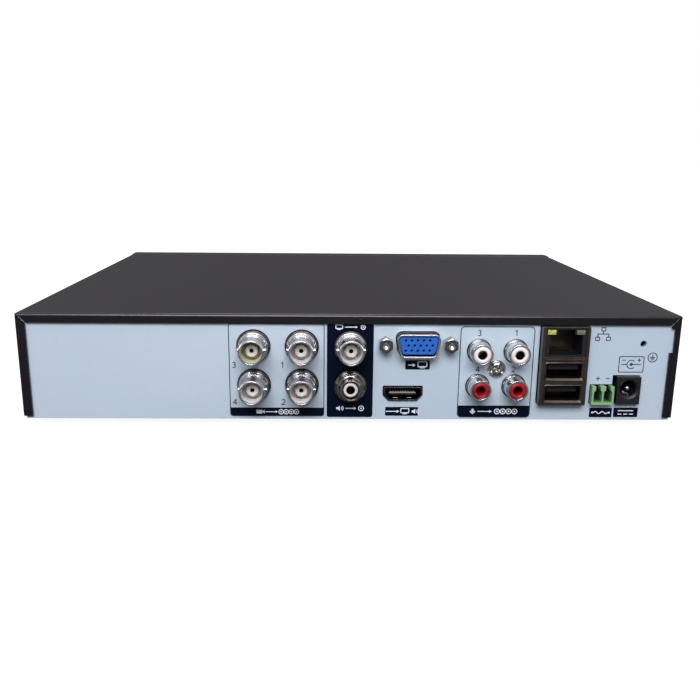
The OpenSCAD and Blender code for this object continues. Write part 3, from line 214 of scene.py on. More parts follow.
# A surface's numbers are its colour and the spread of that, its grain (bigger is finer), its roughness
# and the spread of that, and how metallic it is
MATERIALS = {
    "steel_panel": panel_paint(),
    "steel_cover": surface(
        "cover_paint", (0.0030, 0.0025, 0.0040), 0.12, 700, 0.29, 0.03, bump=0.05, bump_scale=2600, IOR=1.5,
        Specular_Tint=(1.0, 0.93, 1.0, 1),
    ),
    "black_screw": surface("black_zinc", (0.05, 0.05, 0.055), 0.2, 400, 0.32, 0.08, 1.0),
    "zinc_screw": surface("bright_zinc", (0.46, 0.445, 0.44), 0.2, 500, 0.11, 0.04, 1.0),
    "nickel": surface("nickel_plate", (0.54, 0.535, 0.55), 0.06, 500, 0.20, 0.02, 1.0, bump=0.004),
    "gold": surface("gold_plate", (0.55, 0.38, 0.12), 0.08, 500, 0.25, 0.06, 1.0),
    "brass_post": surface("brass", (0.72, 0.54, 0.24), 0.1, 500, 0.3, 0.08, 1.0),
    "rubber": surface("foot_rubber", (0.02, 0.02, 0.02), 0.2, 500, 0.78, 0.08, bump=0.3, bump_scale=1800),
    "black_moulding": surface("black_moulding", (0.006, 0.006, 0.008), 0.15, 700, 0.40, 0.08, bump=0.10),
    "front_moulding": surface("front_moulding", (0.014, 0.014, 0.016), 0.1, 600, 0.20, 0.04, bump=0.03),
    "red_lens": surface("smoked_lens", (0.02, 0.003, 0.004), 0.1, 200, 0.07, 0.02, bump=0.0),
    "clear_guide": surface("clear_guide", (0.72, 0.73, 0.70), 0.04, 300, 0.14, 0.03),
    "led": surface("clear_resin", (0.75, 0.75, 0.66), 0.05, 300, 0.15, 0.04),
    "green_board": board_resist("solder_resist", (0.012, 0.095, 0.040)),
    "dark_board": board_resist("dark_resist", (0.008, 0.050, 0.032)),
    "grey_ribbon": surface("ribbon_sleeve", (0.42, 0.42, 0.41), 0.06, 400, 0.45, 0.05),
    "chip": surface("chip_resin", (0.013, 0.013, 0.014), 0.2, 900, 0.55, 0.08, bump=0.2),
    "black_aluminium": surface("black_anodised", (0.025, 0.027, 0.03), 0.15, 600, 0.38, 0.08, 0.6),
    "capacitor_sleeve": surface("capacitor_sleeve", (0.012, 0.017, 0.05), 0.1, 400, 0.26, 0.05),
    "ceramic_parts": surface("ceramic_parts", (0.16, 0.11, 0.07), 0.25, 300, 0.5, 0.1),
    "cell": surface("cell_steel", (0.60, 0.60, 0.58), 0.06, 500, 0.28, 0.06, 1.0),
    "ivory_socket": surface("ivory_moulding", (0.66, 0.63, 0.54), 0.05, 500, 0.42, 0.06),
    "red_cable": surface("red_sheath", (0.30, 0.012, 0.012), 0.1, 400, 0.38, 0.06),
    "yellow_cable": surface("yellow_sheath", (0.60, 0.38, 0.02), 0.1, 400, 0.38, 0.06),
    "ivory_insulator": surface("ivory_insulator", (0.56, 0.54, 0.52), 0.05, 500, 0.36, 0.06),
    "blue_insert": surface("blue_insert", (0.016, 0.105, 0.44), 0.1, 600, 0.36, 0.06),
    "white_insert": surface("white_insert", (0.72, 0.66, 0.65), 0.04, 500, 0.25, 0.05),
    "red_insert": surface("red_insert", (0.25, 0.006, 0.011), 0.12, 500, 0.22, 0.05),
    "shield": surface("tinned_shield", (0.12, 0.10, 0.085), 0.2, 260, 0.34, 0.08, 1.0, bump=0.08),
    "light_window": surface("light_window", (0.14, 0.16, 0.10), 0.12, 400, 0.3, 0.05),
    # The header's colour darkens towards the back of its slots: painted shade
    "green_header": shade_darkened_moulding("green_moulding_painted_shade", (0.20, 0.37, 0.18), 2.9, -1.5),
    "cast_base": surface("cast_base", (0.30, 0.31, 0.33), 0.1, 500, 0.42, 0.08, 0.9, bump=0.2),
    "drive_lid": surface("drive_lid", (0.52, 0.53, 0.55), 0.05, 40, 0.30, 0.05, 1.0, stretch=(1, 40, 1)),
    "mirror_disk": surface("mirror_disk", (0.74, 0.75, 0.77), 0.02, 60, 0.05, 0.02, 1.0, bump=0.0),
    "arm_metal": surface("arm_metal", (0.58, 0.58, 0.60), 0.06, 500, 0.3, 0.06, 1.0),
    "magnet": surface("magnet_plate", (0.40, 0.40, 0.41), 0.08, 500, 0.28, 0.06, 1.0),
    # Finishes of the pieces below that aren't in the record
    "track": surface("covered_copper", (0.05, 0.26, 0.10), 0.08, 400, 0.26, 0.05, bump=0.02),
    "print_dark": surface(
        "print_dark", (0.0009, 0.0032, 0.0125), 0.1, 500, 0.34, 0.05, bump=0.02, IOR=1.2,
    ),
    "print_grey": surface("print_grey", (0.026, 0.038, 0.058), 0.1, 500, 0.4, 0.05, bump=0.02),
    "print_white": surface("print_white", (0.70, 0.74, 0.80), 0.04, 500, 0.4, 0.05, bump=0.02),
    # Bright nickel, also lining the jackscrews' holes as a painted highlight
    "bright_nickel_and_thread_highlight": surface("bright_nickel_and_thread_highlight", (0.60, 0.60, 0.61), 0.05, 500, 0.20, 0.02, 1.0, bump=0.004),
    "satin_nickel": surface("satin_nickel", (0.62, 0.585, 0.585), 0.08, 600, 0.5, 0.06, 0.25, bump=0.05),
    "stained_nickel": surface("stained_nickel", (0.50, 0.49, 0.33), 0.15, 300, 0.5, 0.06, 0.25, bump=0.05),
    # Painted shade for the gap round each phono shell's foot
    "gap_shade_metal": surface("gap_shade_metal", (0.10, 0.095, 0.10), 0.15, 400, 0.25, 0.06, 1.0),
    # Near-black metal for contacts deep in the jacks' holes: painted shade
    "hole_shade_metal": surface("hole_shade_metal", (0.05, 0.035, 0.025), 0.2, 500, 0.4, 0.08, 1.0),
    "smoked_nickel": surface("smoked_nickel", (0.27, 0.25, 0.25), 0.1, 400, 0.14, 0.02, 1.0, bump=0.008),
    # Dark metal for the digital port's shell, and painted shade at the edge of the jacks' flanges
    "dark_nickel_and_rim_shade": surface("dark_nickel_and_rim_shade", (0.14, 0.13, 0.13), 0.15, 400, 0.20, 0.05, 1.0),
    # Grey for the chips' first-pin spots, and a painted highlight on the digital port's tongue
    "grey_spot_and_painted_highlight": surface("grey_spot_and_painted_highlight", (0.30, 0.285, 0.27), 0.1, 500, 0.4, 0.06),
    "tin": surface("tinned_leads", (0.62, 0.62, 0.60), 0.06, 700, 0.3, 0.06, 1.0),
    "black_cable": surface("black_sheath", (0.012, 0.012, 0.013), 0.15, 400, 0.38, 0.06),
    "yellow_light": surface(
        "yellow_light", (0.38, 0.38, 0.09), 0.5, 1500, 0.16, 0.05,
        Emission_Color=(0.80, 0.78, 0.16, 1), Emission_Strength=0.07,
    ),
    "bare_top": surface("capacitor_top", (0.66, 0.66, 0.65), 0.05, 500, 0.34, 0.06, 1.0),
    "label_paper": surface("label_paper", (0.72, 0.72, 0.70), 0.02, 300, 0.5, 0.05, bump=0.06),
    # Ink on the drive's label, and painted shade in the capacitors' vent grooves
    "ink_and_vent_shade": surface("ink_and_vent_shade", (0.05, 0.055, 0.06), 0.1, 300, 0.5, 0.05),
    "label_band": surface("label_band", (0.05, 0.22, 0.20), 0.06, 300, 0.45, 0.05),
}

for node_name, node in frame["nodes"].items():
    for slot in node.material_slots:
        slot.link = "OBJECT"
        slot.material = MATERIALS[SLOT_OF[node_name]]


# ---- Mesh tools ------------------------------------------------------------------------------

OUT = (0, 1, 0)
UP = (0, 0, 1)
SHARP = math.radians(35)     # edges below this angle are smooth


def round_edges(piece, width):
    """A small radius, in millimetres, on every sharp edge."""
    bevel = piece.modifiers.new("edges", "BEVEL")
    bevel.width = width * MM
    bevel.segments = 2
    bevel.limit_method = "ANGLE"
    bevel.angle_limit = SHARP
    bevel.harden_normals = True
    return bevel


def round_node(name, width, clamp=False):
    """The same on a CAD node, whose triangles are joined into whole faces first."""
    node = frame["nodes"][name]
    weld = node.modifiers.new("weld", "WELD")
    weld.merge_threshold = 0.001 * MM
    flatten = node.modifiers.new("flatten", "DECIMATE")
    flatten.decimate_type = "DISSOLVE"
    flatten.angle_limit = math.radians(0.5)
    round_edges(node, width).use_clamp_overlap = clamp
    node.modifiers.new("normals", "WEIGHTED_NORMAL").weight = 80


def full_turn(steps):
    return [2 * math.pi * i / steps for i in range(steps)]


def arc(x, y, radius, start, end, steps=8):
    """Points along an arc, its angles in degrees."""
    turns = [math.radians(start + (end - start) * i / steps) for i in range(steps + 1)]
    return [Vector((x + radius * math.cos(a), y + radius * math.sin(a))) for a in turns]


def circle(x, y, radius, steps=32):
    return arc(x, y, radius, 0, 360, steps)[:-1]


def rounded(corners, radius, steps=5):
    """A polygon's corners rounded to one radius, or to one radius each."""
    radii = radius if isinstance(radius, (list, tuple)) else [radius] * len(corners)
    points = []
    for i, (corner, r) in enumerate(zip(corners, radii)):
        corner = Vector(corner)
        before = (Vector(corners[i - 1]) - corner).normalized()
        after = (Vector(corners[(i + 1) % len(corners)]) - corner).normalized()
        if not r:
            points.append(corner)
            continue
        half = before.angle(after) / 2
        centre = corner + (before + after).normalized() * r / math.sin(half)
        start = corner + before * r / math.tan(half) - centre
        end = corner + after * r / math.tan(half) - centre
        first = math.atan2(start.y, start.x)
        turn = (math.atan2(end.y, end.x) - first + math.pi) % (2 * math.pi) - math.pi
        for k in range(steps + 1):
            angle = first + turn * k / steps
            points.append(centre + r * Vector((math.cos(angle), math.sin(angle))))
    return points


def box_corners(x, y, width, height):
    w, h = width / 2, height / 2
    return [(x + w, y + h), (x - w, y + h), (x - w, y - h), (x + w, y - h)]


def smooth_path(points, steps):
    """Points along a smooth curve through points, with steps to each span."""
    points = [Vector(p) for p in points]
    last = len(points) - 1
    path = []
    for k in range(steps * last + 1):
        i = min(k // steps, last - 1)
        u = k / steps - i
        a, b, c, d = (points[max(0, min(j, last))] for j in (i - 1, i, i + 1, i + 2))
        bend = 2 * a - 5 * b + 4 * c - d
        path.append((2 * b + (c - a) * u + bend * u * u + (3 * b - a - 3 * c + d) * u**3) / 2)
    return path


MITRE_LIMIT = 0.4            # keeps the mitre of a sharp corner from running away


def mitred(points, width, closed=False):
    """Pairs of points on the two sides of a line of one width, with its corners mitred."""
    points = [Vector(p) for p in points]
    last = len(points) - 1
    pairs = []
    for i, p in enumerate(points):
        ahead = points[(i + 1) % len(points)] - p if closed or i < last else p - points[i - 1]
        behind = p - points[i - 1] if closed or i else ahead
        ahead, behind = ahead.normalized(), behind.normalized()
        along = (ahead + behind).normalized()
        side = Vector((-along.y, along.x)) * (width / 2 / max(MITRE_LIMIT, along.dot(ahead)))
        pairs.append((p + side, p - side))
    return pairs


class Shape:
    """A mesh under construction. Sizes and places are millimetres in the case's frame."""

    def __init__(self):
        self.bm = bmesh.new()

    def skin(self, rings, closed=False, caps=False):
        """Faces between rings of points. A ring of one point is a tip; closed joins the end rings."""
        made = [[self.bm.verts.new(case(*p)) for p in ring] for ring in rings]
        pairs = list(zip(made, made[1:]))
        if closed:
            pairs.append((made[-1], made[0]))
        for a, b in pairs:
            count = max(len(a), len(b))
            for i in range(count):
                j = (i + 1) % count
                corners = (a[i % len(a)], a[j % len(a)], b[j % len(b)], b[i % len(b)])
                self.bm.faces.new(list(dict.fromkeys(corners)))
        if caps:
            self.bm.faces.new(made[0])
            self.bm.faces.new(made[-1])
        return self

    def turn(self, origin, axis, profile, steps=48):
        """Turn (radius, distance) points about an axis. A profile off the axis closes on itself."""
        origin, axis = Vector(origin), Vector(axis)
        side = Vector((0, 0, 1)) if abs(axis.z) < 0.5 else Vector((1, 0, 0))
        up = axis.cross(side)
        angles = full_turn(steps)
        rings = []
        for radius, along in profile:
            centre = origin + axis * along
            around = [centre + radius * (math.cos(a) * side + math.sin(a) * up) for a in angles]
            rings.append(around if radius else [centre])
        return self.skin(rings, closed=profile[0][0] > 0)

    def lathe(self, x, z, profile, steps=48):
        """Turn (radius, reach) points about an axis that comes straight out of the panel."""
        return self.turn((x, 0, z), OUT, profile, steps)

    def disc(self, centre, radius, low, high, steps, hole=0):
        """A level disc, or a washer, between two heights above or below its centre."""
        return self.turn(centre, UP, [(hole, low), (radius, low), (radius, high), (hole, high)], steps)

    def plate(self, outline, low, high):
        """An outline seen from above, from one height to another."""
        return self.skin([[(x, y, z) for x, y in outline] for z in (low, high)], caps=True)

    def block(self, low, high):
        (x0, y0, z0), (x1, y1, z1) = low, high
        return self.plate([(x0, y0), (x1, y0), (x1, y1), (x0, y1)], z0, z1)

    def slab(self, outline, low, high):
        """An outline across and up the panel, from one reach to another."""
        return self.skin([[(x, y, z) for x, z in outline] for y in (low, high)], caps=True)

    def pierced(self, sheet, holes, front, back):
        """A flat sheet facing out of the panel, (x0, x1, z0, z1) like its holes, with square edges."""
        xs = sorted({*sheet[:2], *(x for hole in holes for x in hole[:2])})
        zs = sorted({*sheet[2:], *(z for hole in holes for z in hole[2:])})
        corners = {}

        def corner(i, j, reach):
            if (i, j, reach) not in corners:
                corners[i, j, reach] = self.bm.verts.new(case(xs[i], reach, zs[j]))
            return corners[i, j, reach]

        def solid(i, j):
            if not (0 <= i < len(xs) - 1 and 0 <= j < len(zs) - 1):
                return False
            x, z = (xs[i] + xs[i + 1]) / 2, (zs[j] + zs[j + 1]) / 2
            return not any(x0 < x < x1 and z0 < z < z1 for x0, x1, z0, z1 in holes)

        for i in range(len(xs) - 1):
            for j in range(len(zs) - 1):
                if not solid(i, j):
                    continue
                around = [(i, j), (i + 1, j), (i + 1, j + 1), (i, j + 1)]
                beyond = [(i, j - 1), (i + 1, j), (i, j + 1), (i - 1, j)]
                for reach in (front, back):
                    self.bm.faces.new([corner(*place, reach) for place in around])
                for k, cell in enumerate(beyond):
                    if not solid(*cell):
                        a, b = around[k], around[(k + 1) % 4]
                        ends = ((a, front), (b, front), (b, back), (a, back))
                        self.bm.faces.new([corner(*place, reach) for place, reach in ends])
        return self

    def ring(self, outline_of, section):
        """A closed section of (margin, reach) points carried round an outline grown by the margin."""
        rings = [[(x, reach, z) for x, z in outline_of(margin)] for margin, reach in section]
        return self.skin(rings, closed=True)

    def stroke(self, points, width, low, high, closed=False):
        """A line of one width along points across and up the panel."""
        return self.skin([
            [(a.x, low, a.y), (a.x, high, a.y), (b.x, high, b.y), (b.x, low, b.y)]
            for a, b in mitred(points, width, closed)
        ], closed=closed, caps=not closed)

    def leaf(self, x, half, thick, path):
        """A leaf of sheet metal, level across, along (reach, height) points."""
        return self.skin([
            [(x - half, y, z), (x + half, y, z), (x + half, y, z + thick), (x - half, y, z + thick)]
            for y, z in path
        ], caps=True)

    def sweep(self, path, section):
        """A flat or round section carried along a path that stays near level."""
        rings = []
        for i, p in enumerate(path):
            along = (path[min(i + 1, len(path) - 1)] - path[max(i - 1, 0)]).normalized()
            side = along.cross(Vector((0, 0, 1))).normalized()
            up = side.cross(along)
            rings.append([p + s * side + t * up for s, t in section])
        return self.skin(rings, caps=True)

    def finish(self, name, material, edges=0.0, replaces=None):
        """Make the mesh a named piece on the case, in place of a CAD node if one is named."""
        bmesh.ops.recalc_face_normals(self.bm, faces=self.bm.faces)
        if self.bm.calc_volume(signed=True) < 0:
            bmesh.ops.reverse_faces(self.bm, faces=self.bm.faces)
        mesh = bpy.data.meshes.new(name)
        self.bm.to_mesh(mesh)
        self.bm.free()
        mesh.shade_smooth()
        mesh.materials.append(MATERIALS[material])
        piece = bpy.data.objects.new(name, mesh)
        bpy.context.scene.collection.objects.link(piece)
        if edges:
            round_edges(piece, edges)
        else:
            mesh.set_sharp_from_angle(angle=SHARP)
        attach(piece, "case")
        if replaces:
            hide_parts(replaces)


# ---- Rear connectors -------------------------------------------------------------------------

BACK = -1.2                  # behind the sheet of the panel, where the shells start
DECK_Z = solids("main_board")[0][1].z
FLANGE_R = 6.35
BORE_R = 3.94
STAINED_JACK = "bnc_shell_3"  # its bore has turned yellow
# Two shallow ridges round the bore, and the flange and neck that all the big jacks stand on
BORE_RIDGES = [
    (BORE_R - depth, top + reach) for top in (9.6, 7.4)
    for depth, reach in ((0, 0), (0.14, -0.2), (0.14, -0.5), (0, -0.7))
]
FOOT = [
    (5.9, BACK), (5.9, 2.3), (5.5, 2.6), (5.15, 2.6), (5.15, 3.0), (5.6, 3.2), (5.6, 4.0), (5.3, 4.4),
    (5.0, 4.4),
]
BNC_NODES = {
    **{f"bnc_shell_{number}": f"video_in_jack_{number}" for number in (1, 2, 3, 4)},
    "bnc_shell_out": "video_out_jack",
}


def turned(name, material, nodes, profile, steps=48, edges=0.0, replaces=None):
    """A piece turned at every solid of some CAD nodes, from a profile that knows the solid's reach."""
    shape = Shape()
    for node in nodes:
        for x, z, reach in places(node):
            shape.lathe(x, z, profile(reach), steps)
    shape.finish(name, material, edges, replaces)


def jack_shells():
    """The five coaxial shells with their bayonet lugs, and the audio output's shell on the same foot."""
    lug = [(0, 0), (0.95, 0), (0.95, 1.35), (0.75, 1.6), (0, 1.66)]
    for node, name in BNC_NODES.items():
        (x, z, reach), = places(node)
        shell = Shape().lathe(x, z, [
            (2.5, BACK), *FOOT, (4.6, 4.7), (4.6, 5.2), (4.85, 5.4), (4.85, reach - 0.35), (4.55, reach),
            (4.25, reach), (4.05, reach - 0.25), (4.05, 4.4), (2.5, 4.4),
        ], steps=72)
        for side in (-1, 1):
            shell.turn((x + side * 4.0, reach - 5.5, z), (side, 0, 0), lug, steps=24)
        shell.finish(name, "nickel", edges=0.07, replaces=node)
    turned("audio_out_jack", "smoked_nickel", ["phono_shell_out"], lambda reach: [
        (2.8, BACK), *FOOT, (4.4, 4.7), (4.15, 5.0), (4.15, reach - 0.3), (3.9, reach), (3.7, reach),
        (3.55, reach - 0.2), (3.55, 4.4), (2.8, 4.4),
    ], 72, 0.07, replaces="phono_shell_out")


def jack_insides():
    """The insulator in each big jack, and the contact sleeve in its hole, near black as painted shade."""
    insulators, contacts = Shape(), Shape()
    for (low, high), (x, z, front) in zip(solids("jack_insulators"), places("jack_insulators")):
        radius = (high.x - low.x) / 2
        hole = 0.85 if radius < 2.6 else 1.7
        insulators.lathe(x, z, [
            (hole, BACK), (radius, BACK), (radius, front - 0.3), (radius - 0.25, front),
            (hole + 0.12, front), (hole, front - 0.12),
        ])
        tip = front - 0.4
        contacts.lathe(x, z, [
            (hole - 0.02, BACK), (hole - 0.02, tip), (hole - 0.1, tip), (hole - 0.1, BACK),
        ], steps=32)
    insulators.finish("jack_insulator_discs", "ivory_insulator", edges=0.04, replaces="jack_insulators")
    # The contacts are near black: painted shade deep in the holes
    contacts.finish("jack_contact_sleeves", "hole_shade_metal", replaces="jack_contacts")


def jack_rims_and_bores():
    """A dark ring at the edge of each jack's flange, painted shade, and the satin wall inside each barrel."""
    # The dark ring stands in for the shaded gap round each flange: painted shade
    turned("jack_flange_shade_rims", "dark_nickel_and_rim_shade", [*BNC_NODES, "phono_shell_out"], lambda _: [
        (5.91, BACK), (FLANGE_R, BACK), (FLANGE_R, 1.9), (6.15, 2.15), (5.91, 2.2),
    ], 72, 0.05)

    def bore(_):
        return [
            (4.04, 4.42), (4.04, 11.3), (BORE_R, 11.2), *BORE_RIDGES, (BORE_R, 4.52), (2.5, 4.52),
            (2.5, 4.42),
        ]

    turned("jack_bore_walls", "satin_nickel", [node for node in BNC_NODES if node != STAINED_JACK], bore)
    turned("jack_bore_wall_stained", "stained_nickel", [STAINED_JACK], bore)


def audio_inputs():
    """The four phono shells with a dark rim at their feet, painted shade for the gap to the panel, and their
    coloured inserts.
    """
    turned("audio_in_shells", "bright_nickel_and_thread_highlight", ["phono_shells"], lambda reach: [
        (3.3, BACK), (4.5, BACK), (4.5, 0.5), (4.3, 0.8), (3.95, 0.8), (3.95, 1.3), (4.15, 1.5),
        (4.15, reach - 0.3), (3.95, reach), (3.45, reach), (3.3, reach - 0.2),
    ], 64, 0.06, replaces="phono_shells")
    # A near-black ring filling the gap between each shell and the panel's hole: painted shade
    turned("audio_in_shade_rims", "gap_shade_metal", ["phono_shells"], lambda _: [
        (4.51, -0.8), (4.76, -0.8), (4.76, 0.45), (4.51, 0.6),
    ], 64)
    for colour in ("white", "red"):
        node = f"phono_inserts_{colour}"
        turned(f"audio_in_inserts_{colour}", SLOT_OF[node], [node], lambda reach: [
            (0, BACK), (3.25, BACK), (3.25, reach - 0.5), (3.0, reach - 0.25), (2.7, reach), (2.1, reach),
            (1.8, reach - 0.25), (1.75, reach - 0.6), (1.75, 0.5), (0, 0.5),
        ], edges=0.05, replaces=node)
    # A near-black sleeve in each white insert's hole: painted shade
    turned("audio_in_contact_sleeves", "hole_shade_metal", ["phono_inserts_white"], lambda reach: [
        (1.73, 0.52), (1.73, reach - 0.7), (1.6, reach - 0.7), (1.6, 0.52),
    ], 40)


def monitor_port():
    (x, z, _), = places("vga_insert")
    (_, _, reach), = places("vga_shell")

    def outline(margin):
        wide, narrow = 8.45 + margin, 6.95 + margin
        top, bottom = z + 4.2 + margin, z - 4.7 - margin
        corners = [(x + wide, top), (x - wide, top), (x - narrow, bottom), (x + narrow, bottom)]
        return rounded(corners, 2 + margin, 7)

    Shape().ring(outline, [
        (-0.6, -2), (1.2, -2), (1.2, BACK), (0.55, BACK + 0.2), (0.1, 0.1), (0.0, 0.6), (0.0, reach - 1.3),
        (0.22, reach - 0.9), (0.22, reach - 0.3), (0.0, reach), (-0.35, reach), (-0.6, reach - 0.25),
    ]).finish("monitor_port_shell", "nickel", edges=0.06, replaces="vga_shell")


NUT_FLAT = 2.55              # half the width across a jackscrew's flats
NUT_FACE_R = 2.35            # where the chamfer of its face starts


def jackscrews():
    """The monitor port's hexagonal jackscrews: a coned chamfer, a countersink and a tapped hole in brighter
    nickel than the nut, a painted highlight.
    """
    nuts, thread_highlights = Shape(), Shape()
    angles = full_turn(48)
    sides = [NUT_FLAT / math.cos((a + math.pi / 6) % (math.pi / 3) - math.pi / 6) for a in angles]

    for x, z, reach in places("vga_jackscrews"):

        def around(radii, reaches):
            return [(x + r * math.cos(a), y, z + r * math.sin(a)) for a, r, y in zip(angles, radii, reaches)]

        rounds = ((NUT_FACE_R, reach), (1.5, reach), (1.2, reach - 0.3), (1.2, reach - 2))
        chamfer = [reach - (r - NUT_FACE_R) * 0.6 for r in sides]
        nuts.skin([
            [(x, 0.2, z)], around(sides, [0.2] * 48), around(sides, chamfer),
            *[around([r] * 48, [y] * 48) for r, y in rounds], [(x, reach - 2, z)],
        ])
        nuts.lathe(x, z, [(0, -7), (1.42, -7), (1.42, BACK), (1.95, BACK), (1.95, 0.19), (0, 0.19)])
        # The tapped hole is lined in brighter metal than the nut: a painted highlight
        thread_highlights.turn((x, reach, z), OUT, [
            (0, -1.95), (1.18, -1.95), (1.18, -0.35), (0.95, -0.45), (0.55, -0.95), (0, -1.15),
        ], steps=40)
    nuts.finish("monitor_port_nuts", "smoked_nickel", edges=0.05, replaces="vga_jackscrews")
    thread_highlights.finish("monitor_port_nut_thread_highlight", "bright_nickel_and_thread_highlight")


def digital_port():
    """The port's tongue with its row of contacts, and the shell's two spring fingers."""
    low, high = max(solids("hd_out_tongue"), key=lambda solid: solid[1].y)
    x, top = (low.x + high.x) / 2, high.z - 2.1
    front = BACK - 0.3
    tongue = Shape().block((x - 5.4, -10, top - 1.1), (x + 5.4, front, top))
    tongue.finish("digital_port_tongue", "black_moulding", edges=0.12, replaces="hd_out_tongue")
    # A lighter strip along the black tongue's front edge: a painted highlight
    edge = Shape().block((x - 5.2, front - 0.1, top - 0.4), (x + 5.2, front + 0.12, top + 0.04))
    edge.finish("digital_port_tongue_highlight", "grey_spot_and_painted_highlight", edges=0.05)
    contacts, fingers = Shape(), Shape()
    for i in range(10):
        cx = x + (i - 4.5) * 1.0
        contacts.block((cx - 0.28, -9.5, top - 0.05), (cx + 0.28, front - 0.35, top + 0.06))
    contacts.finish("digital_port_contacts", "satin_nickel", edges=0.03)
    floor = low.z + 0.05
    spring = [(y, floor + up) for y, up in ((-7.5, 0), (-4, 0.3), (-2.2, 0.5), (-1.2, 0.2), (-0.8, 0.25))]
    for side in (-1, 1):
        fingers.leaf(x + side * 2.7, 0.9, 0.2, spring)
    fingers.finish("digital_port_fingers", "bright_nickel_and_thread_highlight", edges=0.05)


def audio_in_screw():
    """A pan head on its own washer, with a tapering cross recess."""
    low, _ = solids("audio_in_screw")[0]
    (x, z, top), = places("audio_in_screw")
    slant = math.radians(20)

    def around(y, radius_at):
        turns = [(radius_at(angle), angle + slant) for angle in full_turn(96)]
        return [(x + radius * math.cos(turn), y, z + radius * math.sin(turn)) for radius, turn in turns]

    def cross(y, arm, half):
        def radius_at(angle):
            across, up = abs(math.cos(angle)) + 1e-6, abs(math.sin(angle)) + 1e-6
            return max(min(arm / across, half / up), min(half / across, arm / up))
        return around(y, radius_at)

    profile = [
        (1.45, low.y), (1.45, 0.0), (3.4, 0.0), (3.5, 0.12), (3.5, 0.4), (3.4, 0.5), (3.1, 0.55), (3.1, 1.0),
        (2.95, 1.4), (2.55, 1.8), (2.1, top - 0.14),
    ]
    Shape().skin([
        [(x, low.y, z)], *[around(y, lambda angle, r=r: r) for r, y in profile], cross(top - 0.06, 1.7, 0.45),
        cross(1.1, 1.35, 0.34), cross(0.7, 0.8, 0.2), [(x, 0.5, z)],
    ]).finish("audio_in_screw_head", "zinc_screw", edges=0.05, replaces="audio_in_screw")


USB_MIDDLES = (20.6, 11.7)   # heights of the two serial bus ports


def box_outline(x0, x1, z0, z1, radius=0):
    """An outline for Shape.ring: a rectangle, its corners round or sharp, grown by the margin."""
    def outline(margin):
        corners = box_corners((x0 + x1) / 2, (z0 + z1) / 2, x1 - x0 + 2 * margin, z1 - z0 + 2 * margin)
        return rounded(corners, radius, 3) if radius else corners
    return outline


def network_shield():
    """A tinned shield with rolled lips round its two lower ports and a folded edge under the upper one."""
    low, high = solids("lan_usb_shield")[0]
    (x, _, face), = places("lan_usb_shield")
    back = face - 0.3
    usb_ports = [(x - 6.7, x + 6.7, z - 2.8, z + 2.8) for z in USB_MIDDLES]
    ports = [(x - 7.9, x + 7.9, 26.2, 37.4), *usb_ports]
    shield = Shape().pierced((low.x, high.x, low.z, high.z), ports, face, back)
    sides = box_outline(low.x, high.x, low.z, high.z)
    shield.ring(sides, [(0, low.y), (0, back - 0.01), (-0.3, back - 0.01), (-0.3, low.y)])
    shield.slab(sides(-0.31), low.y, low.y + 0.3)
    for port in usb_ports:
        shield.ring(box_outline(*port, 0.5), [
            (-0.02, back - 4), (-0.02, face), (0.65, face + 0.75), (0.85, face + 0.6), (0.22, face - 0.1),
            (0.22, back - 4),
        ])
    fold = ((face - 0.2, 25.9), (face + 0.7, 25.35), (face + 0.6, 25.05), (face - 0.2, 25.5))
    shield.skin([[(x + end, reach, z) for reach, z in fold] for end in (-7.4, 7.4)], caps=True)
    shield.finish("network_shield", "shield", edges=0.06, replaces="lan_usb_shield")


def network_contacts_and_lights():
    (x, _, _), = places("lan_usb_shield")
    contacts = Shape()
    for i in range(8):
        cx = x + (i - 3.5) * 1.02
        spring = [Vector((cx, *point)) for point in ((-9.3, 27.4), (-6, 27.6), (-3.5, 28.5), (-2.6, 28.3))]
        contacts.sweep(spring, circle(0, 0, 0.17, 8))
    for z in USB_MIDDLES:
        for i in range(4):
            cx = x + (i - 1.5) * 2.3
            contacts.block((cx - 0.5, -8.5, z + 0.1), (cx + 0.5, -2.5, z + 0.28))
    contacts.finish("network_contacts", "gold", edges=0.03, replaces="lan_usb_contacts")

    finishes = (("green", "light_window"), ("yellow", "yellow_light"))
    for (low, high), (colour, material) in zip(sorted(solids("lan_lights"), key=lambda s: s[0].x), finishes):
        light = Shape().block(low, high - Vector((0, 0.3, 0)))
        third = (high.x - low.x) / 3
        for k in range(3):
            light.turn((low.x + (k + 0.5) * third, high.y - 0.35, (low.z + high.z) / 2), OUT, [
                (0, 0), (0.5, 0), (0.38, 0.26), (0, 0.36),
            ], steps=16)
        light.finish(f"network_light_{colour}", material, edges=0.08, replaces="lan_lights")


INLET_Z = 13.1               # the middle of the power inlet's bore


def power_and_serial():
    pins = Shape()
    (bore_x, _, _), = places("dc_jack_body")
    pins.lathe(bore_x, INLET_Z, [
        (0, -8.5), (1.05, -8.5), (1.05, 0.3), (0.85, 0.8), (0.5, 1.1), (0, 1.2),
    ], steps=32)
    pins.leaf(bore_x, 1, 0.3, ((-8.4, 10.35), (-4.5, 10.9), (-2.2, 11.1), (-1.2, 10.5)))
    (middle, _, _), = places("serial_header")
    for side in (-1, 1):
        x, z = middle + side * 1.95, DECK_Z + 3.2
        pins.skin([
            [(x - w, y, z - w), (x + w, y, z - w), (x + w, y, z + w), (x - w, y, z + w)]
            for w, y in ((0.5, -6.5), (0.5, -2.4), (0.25, -2.0))
        ], caps=True)
    pins.finish("inlet_and_header_pins", "nickel", replaces="power_and_serial_pins")


# ---- Printing on the rear panel --------------------------------------------------------------

INK = (-0.01, 0.02)          # from just under the panel's face to the height of the ink
TOP_INK = (0.02, 0.045)      # white marks printed over the dark bars
STROKE_STEP = 0.0003         # each stroke is this much higher than the last, so that no two share a face


